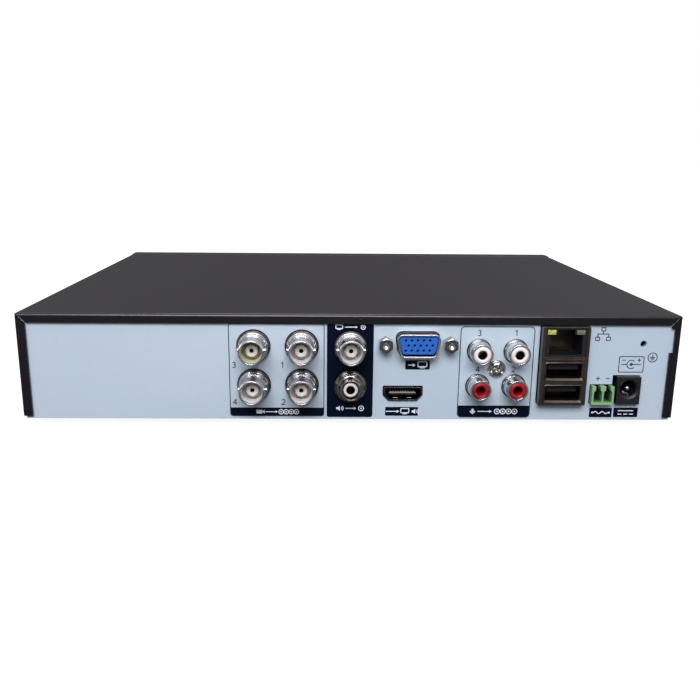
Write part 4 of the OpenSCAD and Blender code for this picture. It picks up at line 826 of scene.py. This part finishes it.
class Marks:
    """Signs drawn round a centre, u to the viewer's right and v up, in millimetres."""

    def __init__(self, ink, width):
        self.shape = Shape()
        self.ink = ink
        self.strokes = 0
        self.width = width
        self.centre = (0, 0)
        self.size = 1.0

    def to(self, x, z, size=1.0):
        """Move to a place on the panel and a size for the signs that follow."""
        self.centre = (x, z)
        self.size = size
        return self

    def place(self, points):
        return [(self.centre[0] - u * self.size, self.centre[1] + v * self.size) for u, v in points]

    def reach(self):
        """The next stroke's depth in the ink."""
        self.strokes += 1
        return self.ink[0], self.ink[1] + STROKE_STEP * self.strokes

    def line(self, *points, closed=False):
        self.shape.stroke(self.place(points), self.width, *self.reach(), closed=closed)
        return self

    def area(self, *points):
        self.shape.slab(self.place(points), *self.reach())
        return self

    def box(self, u, v, width, height, radius=0.25):
        return self.line(*rounded(box_corners(u, v, width, height), radius, 3), closed=True)

    def digit(self, number):
        strokes = {
            1: [[(-0.45, 0.6), (0.1, 1), (0.1, -1)]],
            2: [[*arc(0, 0.45, 0.55, 165, -35, 8), (-0.6, -1), (0.65, -1)]],
            3: [arc(-0.05, 0.5, 0.5, 150, -90, 8), arc(-0.05, -0.45, 0.56, 90, -150, 9)],
            4: [[(0.35, -1), (0.35, 1)], [(0.35, 1), (-0.65, -0.4), (0.75, -0.4)]],
        }
        for points in strokes[number]:
            self.line(*points)

    def arrow(self, u, v, length):
        self.line((u, v), (u + length - 0.5, v))
        return self.area((u + length - 0.8, v + 0.6), (u + length + 0.1, v), (u + length - 0.8, v - 0.6))

    def camera(self, u, v):
        self.area(*rounded(box_corners(u, v, 2.5, 1.7), 0.3, 3))
        return self.area((u + 1.45, v + 0.25), (u + 2.2, v + 0.8), (u + 2.2, v - 0.8), (u + 1.45, v - 0.25))

    def monitor(self, u, v):
        self.box(u, v + 0.2, 3.0, 1.7)
        return self.line((u - 0.8, v - 1.05), (u + 0.8, v - 1.05))

    def speaker(self, u, v):
        upper = [(u - 1.1, v + 0.4), (u - 0.5, v + 0.4), (u + 0.2, v + 1.0)]
        lower = [(u - 1.1, v - 0.4), (u + 0.2, v - 1.0), (u - 0.5, v - 0.4)]
        self.area(lower[0], *upper, *lower[1:])
        for radius in (0.6, 1.2):
            self.line(*arc(u + 0.3, v, radius, -48, 48, 6))
        return self

    def microphone(self, u, v):
        self.area(*rounded(box_corners(u, v + 0.35, 0.9, 1.5), 0.42, 4))
        self.line(*arc(u, v + 0.2, 0.85, 180, 360, 8))
        return self.line((u, v - 0.65), (u, v - 1.1))

    def socket(self, u, v):
        self.line(*circle(u, v, 0.95, 20), closed=True)
        return self.area(*circle(u, v, 0.35, 12))

    def finish(self, name, material):
        return self.shape.finish(name, material)


# Under each group of ports a dark bar, (x0, x1, z0, z1), and the radii of its corners
DARK_BARS = {
    "video inputs": ((46.8, 10.2, 1.15, 4.6), (0, 0, 1.1, 1.1)),
    "audio inputs": ((-42.4, -70.9, 0.8, 5.7), (0, 0, 1.5, 1.5)),
    "monitor port": ((-21.3, -30.9, 20.2, 23.9), 0.4),
    "digital port": ((-13.9, -26.9, 1.4, 5.0), 0.4),
    "serial header": ((-94.7, -103.7, 1.0, 4.9), 0.3),
    "power inlet": ((-104.3, -114.0, 1.1, 5.0), 0.3),
}
# A grey frame round each group of inputs, and the radius of its corners
GREY_FRAMES = {"video inputs": ((10.2, 46.8, 1.2, 38), 1.1), "audio inputs": ((-70.9, -42.4, 0.9, 37.2), 1.5)}


def corners_of(x0, x1, z0, z1):
    return [(x0, z1), (x1, z1), (x1, z0), (x0, z0)]


def dark_printing():
    dark = Shape()
    for box, radii in DARK_BARS.values():
        dark.slab(rounded(corners_of(*box), radii, 4), *INK)

    # The dark field behind the two output jacks, open where the jacks come through
    (x, upper, _), = places("bnc_shell_out")
    (_, lower, _), = places("phono_shell_out")
    middle = (upper + lower) / 2
    for z, z0, z1, radii in ((upper, middle, 38.3, [0.9, 0.9, 0, 0]), (lower, 0.8, middle, [0, 0, 0.9, 0.9])):
        outline = []
        edge = rounded(corners_of(9.1, -8.9, z0, z1), radii, 4)
        for a, b in zip(edge, edge[1:] + edge[:1]):
            count = max(1, round((Vector(b) - Vector(a)).length))
            outline += [Vector(a).lerp(Vector(b), k / count) for k in range(count)]
        hub = Vector((x, z))
        inner = [hub + (p - hub).normalized() * 6.55 for p in outline]
        dark.skin([
            [(p.x, reach, p.y) for p in ring]
            for ring, reach in ((outline, INK[0]), (outline, INK[1]), (inner, INK[1]), (inner, INK[0]))
        ], closed=True)
    dark.finish("panel_print_dark", "print_dark")


def grey_printing():
    marks = Marks(INK, 0.36)
    frame_line = Marks(INK, 0.36)
    for (x0, x1, z0, z1), radius in GREY_FRAMES.values():
        frame_line.line(*rounded(corners_of(-x1, -x0, z0, z1), radius, 5), closed=True)
    frame_line.finish("panel_frames", "print_grey")
    for number, x, z in (
        (3, 45.0, 21.8), (1, 26.3, 21.8), (4, 45.0, 6.9), (2, 26.0, 6.9),
        (3, -49.6, 34.8), (1, -63.9, 34.8), (4, -49.6, 20.4), (2, -63.6, 20.4),
    ):
        marks.to(x, z, 1.05).digit(number)
    # Network: one box above, two below
    marks.to(-97.5, 34.6)
    for u, v in ((0, 1.9), (-2.1, -1.9), (2.1, -1.9)):
        marks.box(u, v, 1.5, 1.3, 0.1)
    marks.line((0, 1.2), (0, 0)).line((-2.1, -1.2), (-2.1, 0), (2.1, 0), (2.1, -1.2))
    # The two terminals
    marks.to(-97.0, 16.9).line((-0.8, 0), (0.8, 0)).line((0, -0.8), (0, 0.8))
    marks.to(-100.9, 16.9).line((-0.8, 0), (0.8, 0))
    # Polarity of the power inlet
    marks.to(-109.5, 22.6).box(0, 0, 9.6, 6.2, 0.3)
    marks.line((-3.8, 0), (-1.7, 0)).line(*arc(0, 0, 1.7, 45, 315, 14)).line((0, 0), (3.8, 0))
    marks.area(*circle(0, 0, 0.65, 16))
    marks.line((-3.7, 1.7), (-2.3, 1.7)).line((2.3, 1.7), (3.7, 1.7)).line((3.0, 1.0), (3.0, 2.4))
    # Earth
    marks.to(-117.6, 25.4).line(*circle(0, 0, 1.8, 28), closed=True).line((0, 1.2), (0, 0))
    for v, half in ((0, 1.0), (-0.5, 0.65), (-1.0, 0.3)):
        marks.line((-half, v), (half, v))
    marks.finish("panel_print_grey", "print_grey")


def white_printing():
    marks = Marks(TOP_INK, 0.34)
    marks.to(28.5, 2.9, 0.95).camera(-7.4, 0).arrow(-4.8, 0, 4.9)
    for u in (1.6, 3.7, 5.8, 7.9):
        marks.socket(u, 0)
    marks.to(0, 36.85, 0.85).monitor(-5.2, 0).arrow(-2.6, 0, 5.6).socket(5.6, 0)
    marks.to(0, 4.4, 1.05).speaker(-4.0, 0).arrow(-1.7, 0, 4.0).socket(4.2, 0)
    marks.to(-26.1, 22.0, 1.15).arrow(-3.2, 0, 2.4).monitor(1.6, 0.1)
    marks.to(-20.4, 3.2, 1.05).arrow(-5.9, 0, 4.9).monitor(1.2, 0.1).speaker(4.9, 0)
    marks.to(-56.6, 3.3, 1.05).microphone(-7.8, 0).arrow(-5.9, 0, 5.2)
    for u in (1.4, 3.6, 5.8, 8.0):
        marks.socket(u, 0)
    marks.to(-99.2, 2.95)
    marks.line(*[(-2.8 + 0.4 * k, 0.45 * math.sin(k * 0.9)) for k in range(15)])
    marks.area(*circle(-3.3, 0, 0.4, 12)).area(*circle(3.3, 0, 0.4, 12))
    marks.to(-109.15, 3.05, 1.4).line((-2.2, 0.5), (2.2, 0.5))
    for u in (-1.65, 0, 1.65):
        marks.line((u - 0.55, -0.5), (u + 0.55, -0.5))
    marks.finish("panel_print_white", "print_white")


# ---- Inside the case -------------------------------------------------------------------------



ACROSS, DEEP = Vector((1, 0, 0)), Vector((0, 1, 0))


def capacitors():
    sleeves, tops, vents = Shape(), Shape(), Shape()
    for low, high in solids("capacitors"):
        x, y, r = (low.x + high.x) / 2, (low.y + high.y) / 2, (high.x - low.x) / 2
        h = high.z - low.z
        sleeves.turn((x, y, low.z), UP, [
            (0, 0), (r - 0.2, 0), (r, 0.25), (r, 1.1), (r - 0.35, 1.45), (r, 1.8), (r, h - 0.5),
            (r - 0.4, h - 0.05), (r - 0.9, h), (r - 1.0, h - 0.2), (0, h - 0.2),
        ], steps=40)
        tops.turn((x, y, high.z), UP, [(0, -0.19), (r - 1.02, -0.19), (r - 1.1, -0.12), (0, -0.12)], steps=40)
        # Dark strips on each top stand in for the shaded grooves of its vent: painted shade
        for turn in (0, 90):
            angle = math.radians(turn + 20)
            middle, spoke = Vector((x, y)), Vector((math.cos(angle), math.sin(angle))) * (r - 1.4)
            (a, b), (c, d) = mitred([middle - spoke, middle + spoke], 0.28)
            vents.plate([b, d, c, a], high.z - 0.13, high.z - 0.10)
    sleeves.finish("capacitor_sleeves", "capacitor_sleeve", replaces="capacitors")
    tops.finish("capacitor_tops", "bare_top")
    vents.finish("capacitor_vents", "ink_and_vent_shade")


PROCESSOR_WIDTH = 20         # the chip that is wider than this lies hidden under the heat sink
FINE_PITCH, COARSE_PITCH = 0.8, 1.9


def chip_leads():
    """Bent leads along the sides of every chip but the processor, and a spot at each first pin."""
    leads, spots = Shape(), Shape()
    thick = Vector((0, 0, 0.13))

    def lead(foot, outward, height):
        half = Vector((-outward.y, outward.x, 0)) * 0.16
        sections = []
        for out, up in ((-0.05, height), (0.3, height), (0.5, 0.08), (1.0, 0.08)):
            middle = foot + outward * out + Vector((0, 0, up))
            sections.append([middle - half, middle + half, middle + half + thick, middle - half + thick])
        leads.skin(sections, caps=True)

    for low, high in solids("chips"):
        spots.disc((low.x + 1.4, high.y - 1.4, high.z), 0.45, -0.02, 0.02, steps=20)
        size, middle = high - low, (low + high) / 2
        if size.x > PROCESSOR_WIDTH:
            continue
        square = abs(size.x - size.y) < 0.5
        pitch = FINE_PITCH if max(size.x, size.y) < 15 else COARSE_PITCH
        for axis, across, along in ((0, ACROSS, DEEP), (1, DEEP, ACROSS)):
            if not square and size[axis] > size[1 - axis]:
                continue
            count = int((size[1 - axis] - 1.0) / pitch)
            for side in (-1, 1):
                for i in range(count):
                    shift = (i - (count - 1) / 2) * pitch
                    foot = Vector((middle.x, middle.y, low.z)) + shift * along
                    lead(foot + side * across * size[axis] / 2, side * across, min(0.6, size.z / 2))
    leads.finish("chip_leads", "tin")
    spots.finish("chip_first_pin_spots", "grey_spot_and_painted_highlight")


COIL_HEIGHT, CAN_HEIGHT = 3.8, 3         # surface parts taller than these are coils, or crystals
ADDED_PARTS, TRIES, ROOM = 150, 900, 1.3


def small_parts():
    """Coils, crystals and chip components, then more components wherever the board is free."""
    bodies, ends, coils, cans = Shape(), Shape(), Shape(), Shape()

    def component(low, high):
        along = ACROSS if high.x - low.x > high.y - low.y else DEEP
        length = (high - low).dot(along) * along
        cap, rest = 0.24 * length, 0.76 * length
        inset = 0.03 * (ACROSS + DEEP - along)
        bodies.block(low + cap + inset, high - cap - inset - Vector((0, 0, 0.03)))
        ends.block(low, high - rest).block(low + rest, high)

    for low, high in solids("surface_parts"):
        size, middle = high - low, (low + high) / 2
        if size.z > COIL_HEIGHT:
            coils.block(low, high - Vector((0, 0, 0.6)))
            top = (middle.x, middle.y, high.z - 0.6)
            coils.turn(top, UP, [(0, 0), (3.3, 0), (3.1, 0.6), (0, 0.6)], steps=40)
        elif size.z > CAN_HEIGHT:
            outline = rounded(box_corners(middle.x, middle.y, size.x, size.y), size.y * 0.48, 6)
            rim = rounded(box_corners(middle.x, middle.y, size.x - 0.5, size.y - 0.5), size.y * 0.43, 6)
            levels = ((outline, low.z), (outline, low.z + 0.5), (rim, low.z + 0.6), (rim, high.z))
            cans.skin([[(x, y, z) for x, y in ring] for ring, z in levels], caps=True)
        else:
            component(low, high)

    taken = [(low, high) for name in (
        "chips", "capacitors", "surface_parts", "coin_cell_holder", "buzzer", "board_sockets", "heatsink",
        "video_in_housing", "av_out_housing", "display_housing", "audio_in_housing", "lan_usb_core",
        "serial_header", "dc_jack_body", "standoffs",
    ) for low, high in solids(name)]
    board_low, board_high = solids("main_board")[0]
    draw = random.Random(11)
    placed = 0
    for _ in range(TRIES):
        if placed == ADDED_PARTS:
            break
        length = draw.choice((1.0, 1.6, 2.0))
        half = Vector((length / 2, length / 4, 0))
        if draw.random() < 0.5:
            half = Vector((half.y, half.x, 0))
        x = round(draw.uniform(board_low.x + 3, board_high.x - 3) * 2) / 2
        y = round(draw.uniform(board_low.y + 3, board_high.y - 6) * 2) / 2
        middle = Vector((x, y, DECK_Z))
        low, high = middle - half, middle + half + Vector((0, 0, length * 0.35))
        if all(
            low.x - ROOM >= b.x or high.x + ROOM <= a.x or low.y - ROOM >= b.y or high.y + ROOM <= a.y
            for a, b in taken
        ):
            taken.append((low, high))
            component(low, high)
            placed += 1
    bodies.finish("component_bodies", "ceramic_parts", replaces="surface_parts")
    ends.finish("component_ends", "tin")
    coils.finish("coils", "chip", edges=0.25)
    cans.finish("crystal_cans", "tin", edges=0.15)


TRACK_PITCH, TRACK_WIDTH = 0.62, 0.26


def board_tracks():
    """Buses of tracks on the main board, each bent twice at 45 degrees, with plated holes at their ends."""
    tracks, holes = Shape(), Shape()
    low, top = DECK_Z - 0.02, DECK_Z + 0.035

    def track(points):
        tracks.skin([
            [(a.x, a.y, low), (a.x, a.y, top), (b.x, b.y, top), (b.x, b.y, low)]
            for a, b in mitred(dict.fromkeys(points), TRACK_WIDTH)
        ], caps=True)

    def bus(start, end, count, place=lambda u, v: (u, v)):
        """Parallel tracks from start to end: straight in u, a diagonal, and straight again."""
        (u0, v0), (u1, v1) = start, end
        onward, rise = math.copysign(1, u1 - u0), v1 - v0
        turn = (u0 + u1) / 2 - abs(rise) / 2 * onward
        for k in range(count):
            shift = (k - (count - 1) / 2) * TRACK_PITCH
            bend = turn - shift * math.tan(math.pi / 8) * onward * math.copysign(1, rise)
            track([
                place(u0, v0 + shift), place(bend, v0 + shift), place(bend + abs(rise) * onward, v1 + shift),
                place(u1, v1 + shift),
            ])
            gap = (0.4 + 0.9 * (k % 2)) * onward
            for hole in (place(u0 - gap, v0 + shift), place(u1 + gap, v1 + shift)):
                holes.disc((*hole, DECK_Z), 0.38, -0.02, 0.045, steps=14, hole=0.16)

    for start, end, count in (
        ((-27, -44), (-24.5, -43), 9), ((-27, -60), (-24.5, -61), 9), ((-7.5, -45), (10.5, -39), 8),
        ((-7.5, -52), (28, -47), 6), ((26, -38), (28, -36), 7), ((-66, -44), (-83, -38), 8),
        ((-66, -55), (-83, -54), 5), ((-96, -40), (-108, -38), 5), ((-66, -66), (-73, -68), 4),
        ((-7, -70), (22, -72), 5), ((20, -50), (34, -54), 4), ((-88, -60), (-99, -55), 4),
    ):
        bus(start, end, count)
    # The same with the straights in y
    for start, end, count in (
        ((18, -29), (14, -16), 8), ((36, -29), (38, -16), 8), ((-50, -33), (-54, -16), 10),
        ((-36, -33), (-30, -17), 8), ((-3, -36), (0, -16), 6), ((-91, -33), (-90, -24), 5),
        ((-62, -71), (-62, -80), 8), ((-40, -71), (-40, -79), 4), ((-88, -68), (-88, -77), 6),
        ((12, -62), (18, -82), 5),
    ):
        bus(start[::-1], end[::-1], count, lambda u, v: (v, u))
    tracks.finish("board_tracks", "track")
    holes.finish("board_plated_holes", "tin")


PLUG_X = -25
HDD_PORT_Z = 10.3
DATA_ROUTE = [
    (-41, -117.7, 10.3), (-49, -117.7, 10.3), (-65, -117, 7.5), (-81, -111, 9.5), (-88, -103, 11.1),
    (-88, -96, 11.1),
]
FRONT_ROUTE = [
    (-62, -190, 17.6), (-62, -178, 17.6), (-59, -160, 12), (-55, -142, 10), (-57, -124, 18),
    (-61, -108, 21), (-62, -97, 16.6), (-62, -91, 16),
]


def power_route(wire):
    y, x = -149.7 + 6 * wire, -43.9 + 2.6 * wire
    return [
        (PLUG_X - 13, y, HDD_PORT_Z), (PLUG_X - 15, y, HDD_PORT_Z + 0.5), (x - 1, y + 9, 17),
        (x, -104, 15), (x, -96, 10.4), (x, -91, 10.1),
    ]


def data_cable():
    """A flat ribbed sheath on the route of its CAD solid, with a moulded plug at each end."""
    flat = rounded(box_corners(0, 0, 7.2, 1.3), 0.6, 4)
    ribbed = [(p.x, p.y * (1 + 0.34 * math.cos(p.x * 2.6))) for p in flat]
    data = Shape().sweep(smooth_path(DATA_ROUTE, 10), ribbed)
    data.finish("data_cable_sheath", "red_cable", replaces="sata_data_cable")
    plugs = Shape()
    # Each plug's two corners, the axis that its four grip ribs follow, and where they start
    for low, high, axis, first in (
        ((-41, -124.1, 7.9), (-25.2, -111.3, 12.7), 0, 1.5),
        ((-94.4, -96, 8.7), (-81.6, -86.2, 13.5), 1, 1.2),
    ):
        plugs.block(low, high)
        for k in range(4):
            rib_low = Vector(low) + Vector((-0.25, -0.25, 0.6))
            rib_high = Vector(high) + Vector((0.25, 0.25, -0.6))
            rib_low[axis] = low[axis] + first + 1.8 * k
            rib_high[axis] = rib_low[axis] + 0.8
            plugs.block(rib_low, rib_high)
    plugs.finish("data_cable_plugs", "black_moulding", edges=0.2)


def power_cable():
    """Four wires on the routes of their CAD solids, between two moulded plugs."""
    for wire, colour in enumerate(("yellow_cable", "black_cable", "black_cable", "red_cable")):
        tube = Shape().sweep(smooth_path(power_route(wire), 10), circle(0, 0, 0.85, 16))
        tube.finish(f"power_wire_{wire + 1}", colour, replaces="hdd_power_cable")
    plugs = Shape().block((-38, -152.3, 7.7), (-25.2, -129.1, 12.9))
    plugs.block((-45.4, -91, 8.1), (-34.6, -82, 12.1))
    for k in range(4):
        plugs.block((-37.2 + 2.4 * k, -152.6, 8.4), (-36.2 + 2.4 * k, -128.8, 12.2))
    plugs.finish("power_cable_plugs", "black_moulding", edges=0.2)


def front_ribbon():
    """A flat cable of eight cores from the front board to the main board, with its two plugs."""
    count = 8
    top = [(-5 + 10 * k / (2 * count), 0.5 - 0.28 * (k % 2 == 0)) for k in range(2 * count + 1)]
    section = top + [(u, -v) for u, v in reversed(top)]
    ribbon = Shape().sweep(smooth_path(FRONT_ROUTE, 10), section)
    ribbon.finish("front_ribbon", "grey_ribbon", replaces="front_cable")
    board_face = solids("front_board")[0][1].y
    plugs = Shape().block((-68, board_face + 0.02, 15.1), (-56, -190, 20.1))
    plugs.block((-68, -91, 13.5), (-56, -83.4, 18.5))
    plugs.finish("front_ribbon_plugs", "black_moulding", edges=0.2)


def drive_label():
    """A plain paper label on the hard disk: blank but for ruled bars and a coloured band."""
    low, high = solids("hdd_cover")[0]
    z = high.z + 0.01
    x0, x1, y0, y1 = low.x + 22, high.x - 18, low.y + 22, high.y - 22

    def patch(shape, a, b, c, d, bottom, top, radius):
        shape.plate(rounded([(b, d), (a, d), (a, c), (b, c)], radius, 5), bottom, top)

    paper, ink, band = Shape(), Shape(), Shape()
    patch(paper, x0, x1, y0, y1, z, z + 0.08, 2.5)
    patch(band, x0 + 2, x1 - 2, y1 - 12, y1 - 3, z + 0.08, z + 0.1, 0.6)
    for k in range(7):
        length = (46, 40, 52, 30, 44, 36, 24)[k]
        patch(ink, x0 + 6, x0 + 6 + length, y1 - 18 - 4.2 * k, y1 - 17 - 4.2 * k, z + 0.08, z + 0.1, 0.3)
    for k in range(18):
        width = 0.5 + 0.5 * (k * 7 % 3)
        patch(ink, x1 - 40 + 2 * k, x1 - 40 + 2 * k + width, y0 + 5, y0 + 15, z + 0.08, z + 0.1, 0.05)
    paper.finish("drive_label", "label_paper")
    ink.finish("drive_label_bars", "ink_and_vent_shade")
    band.finish("drive_label_band", "label_band")


# ---- Front -----------------------------------------------------------------------------------


def front_marks():
    """Signs beside the three lights in the window, seen from the front."""
    face = solids("window_lens")[0][0].y
    (power, light_z, _), (disk, _, _), (network, _, _) = sorted(places("light_guides"))
    z = light_z - 4.6
    ink = (face - 0.02, face + 0.02)
    signs = Shape()

    def line(*points, closed=False):
        signs.stroke(points, 0.3, *ink, closed=closed)

    line(*arc(power, z, 1.0, -235, 55, 16))
    line((power, z + 0.2), (power, z + 1.3))
    line(*circle(disk, z, 1.1, 24), closed=True)
    signs.slab(circle(disk, z, 0.35, 12), *ink)
    line((network - 1.2, z), (network + 1.2, z))
    line((network, z), (network, z + 0.9))
    for across, up in ((-1.2, -0.6), (1.2, -0.6), (0, 1.2)):
        signs.slab(box_corners(network + across, z + up, 0.9, 0.7), *ink)
    signs.finish("front_signs", "print_white")


for build in (
    jack_shells, jack_insides, jack_rims_and_bores, audio_inputs, monitor_port, jackscrews, digital_port,
    audio_in_screw, network_shield, network_contacts_and_lights, power_and_serial, dark_printing,
    grey_printing, white_printing, capacitors, chip_leads, small_parts, board_tracks, data_cable,
    power_cable, front_ribbon, drive_label, front_marks,
):
    build()

round_node("top_cover", 0.10, clamp=True)
for part, width in (
    ("chassis", 0.10), ("front_bezel", 0.25), ("heatsink", 0.15), ("chips", 0.12),
    ("hdd_base", 0.3), ("board_sockets", 0.15), ("buzzer", 0.2), ("coin_cell_holder", 0.2),
    ("video_in_housing", 0.3), ("av_out_housing", 0.3), ("audio_in_housing", 0.3), ("display_housing", 0.2),
    ("dc_jack_body", 0.12), ("serial_header", 0.1), ("window_lens", 0.1), ("hd_out_shell", 0.06),
    ("vga_insert", 0.08), ("main_board", 0.05), ("hdd_board", 0.05),
):
    round_node(part, width)
for slot in frame["nodes"]["hd_out_shell"].material_slots:
    slot.material = MATERIALS["dark_nickel_and_rim_shade"]


# ---- Camera, floor and light -----------------------------------------------------------------


CAMERA_PLACE = (10, 311, 99)             # millimetres in the case's frame
CAMERA_TURN = (-1.10, 15.35, 0.49)       # yaw, pitch downwards and roll, in degrees
LENS = 42.53
SHIFT = (0.0146, 0.0509)


def make_camera():
    yaw, pitch, roll = (math.radians(angle) for angle in CAMERA_TURN)
    ahead = Vector((math.sin(yaw) * math.cos(pitch), -math.cos(yaw) * math.cos(pitch), -math.sin(pitch)))
    right = ahead.cross(Vector((0, 0, 1))).normalized()
    up = right.cross(ahead)
    right, up = math.cos(roll) * right + math.sin(roll) * up, -math.sin(roll) * right + math.cos(roll) * up
    data = bpy.data.cameras.new("camera")
    data.sensor_width = 36
    data.lens = LENS
    data.shift_x, data.shift_y = SHIFT
    data.clip_start, data.clip_end = 0.01, 20
    camera = bpy.data.objects.new("camera", data)
    bpy.context.scene.collection.objects.link(camera)
    turn = Matrix((right, up, -ahead)).transposed().to_4x4()
    camera.matrix_world = Matrix.Translation(case(*CAMERA_PLACE)) @ turn
    bpy.context.scene.camera = camera


def soft_light(name, place, towards, size, power):
    """A rectangular light. Its place and aim are in metres in the shared frame."""
    data = bpy.data.lights.new(name, "AREA")
    data.shape = "RECTANGLE"
    data.size, data.size_y = size
    data.energy = power
    light = bpy.data.objects.new(name, data)
    bpy.context.scene.collection.objects.link(light)
    light.location = place
    light.rotation_mode = "QUATERNION"
    light.rotation_quaternion = (Vector(towards) - Vector(place)).to_track_quat("-Z", "Y")


def floor_paper():
    """White paper to the lens, a mid grey to the object, so that its metal has something to reflect."""
    n = Nodes("floor_paper")
    n.link(n.ramp(n.noise(3), [(0.0, (0.060, 0.060, 0.063)), (1.0, (0.066, 0.066, 0.070))]), "Base Color")
    n.set(Roughness=0.9)
    white = n.add("ShaderNodeEmission", {"Color": (1, 1, 1, 1), "Strength": 0.93}, output="Emission")
    lit = n.add("ShaderNodeBsdfDiffuse", {"Color": (0.17, 0.17, 0.17, 1)}, output="BSDF")
    seen = n.add("ShaderNodeAddShader", {0: white, 1: lit}, output="Shader")
    lens = n.add("ShaderNodeLightPath", output="Is Camera Ray")
    both = n.add("ShaderNodeMixShader", {0: lens, 1: n.shader.outputs["BSDF"], 2: seen}, output="Shader")
    n.tree.links.new(both, n.tree.nodes["Material Output"].inputs["Surface"])
    return n.owner


def make_floor():
    mesh = bpy.data.meshes.new("floor")
    bm = bmesh.new()
    bmesh.ops.create_grid(bm, x_segments=2, y_segments=2, size=9)
    bm.to_mesh(mesh)
    bm.free()
    floor = bpy.data.objects.new("floor", mesh)
    bpy.context.scene.collection.objects.link(floor)
    mesh.materials.append(floor_paper())


def make_world():
    """A studio that is dark at the level of the lens and bright overhead, with a white backdrop."""
    world = bpy.data.worlds.new("studio")
    bpy.context.scene.world = world
    n = Nodes("studio", world, "Background", "Generated")
    parts = n.parts()
    stops = ((0.0, 0.085), (0.28, 0.10), (0.58, 0.5), (0.92, 1.1))
    height = n.ramp(parts["Z"], [(at, (value, value * 0.97, value * 1.01)) for at, value in stops])
    # Soft walls of light to the left and the right
    walls = n.mix(n.math("MULTIPLY", parts["X"], parts["X"]), height, (0.45, 0.45, 0.46, 1), "ADD")
    lens = n.add("ShaderNodeLightPath", output="Is Camera Ray")
    n.link(n.mix(lens, walls, (1, 1, 1, 1)), "Color")
    n.set(Strength=1.0)


make_camera()
make_floor()
make_world()
soft_light("key", (0.07, 0.95, 0.72), (0, 0.10, 0.03), (0.80, 0.50), 15.5)
soft_light("fill", (-0.05, -0.75, 1.15), (0, -0.05, 0.03), (0.7, 0.5), 6)
for side in (-1, 1):
    soft_light(f"side_fill_{side + 1}", (side * 1.3, -0.35, 0.5), (0, -0.08, 0.02), (0.8, 0.6), 5)
bpy.context.scene.view_settings.view_transform = "Standard"
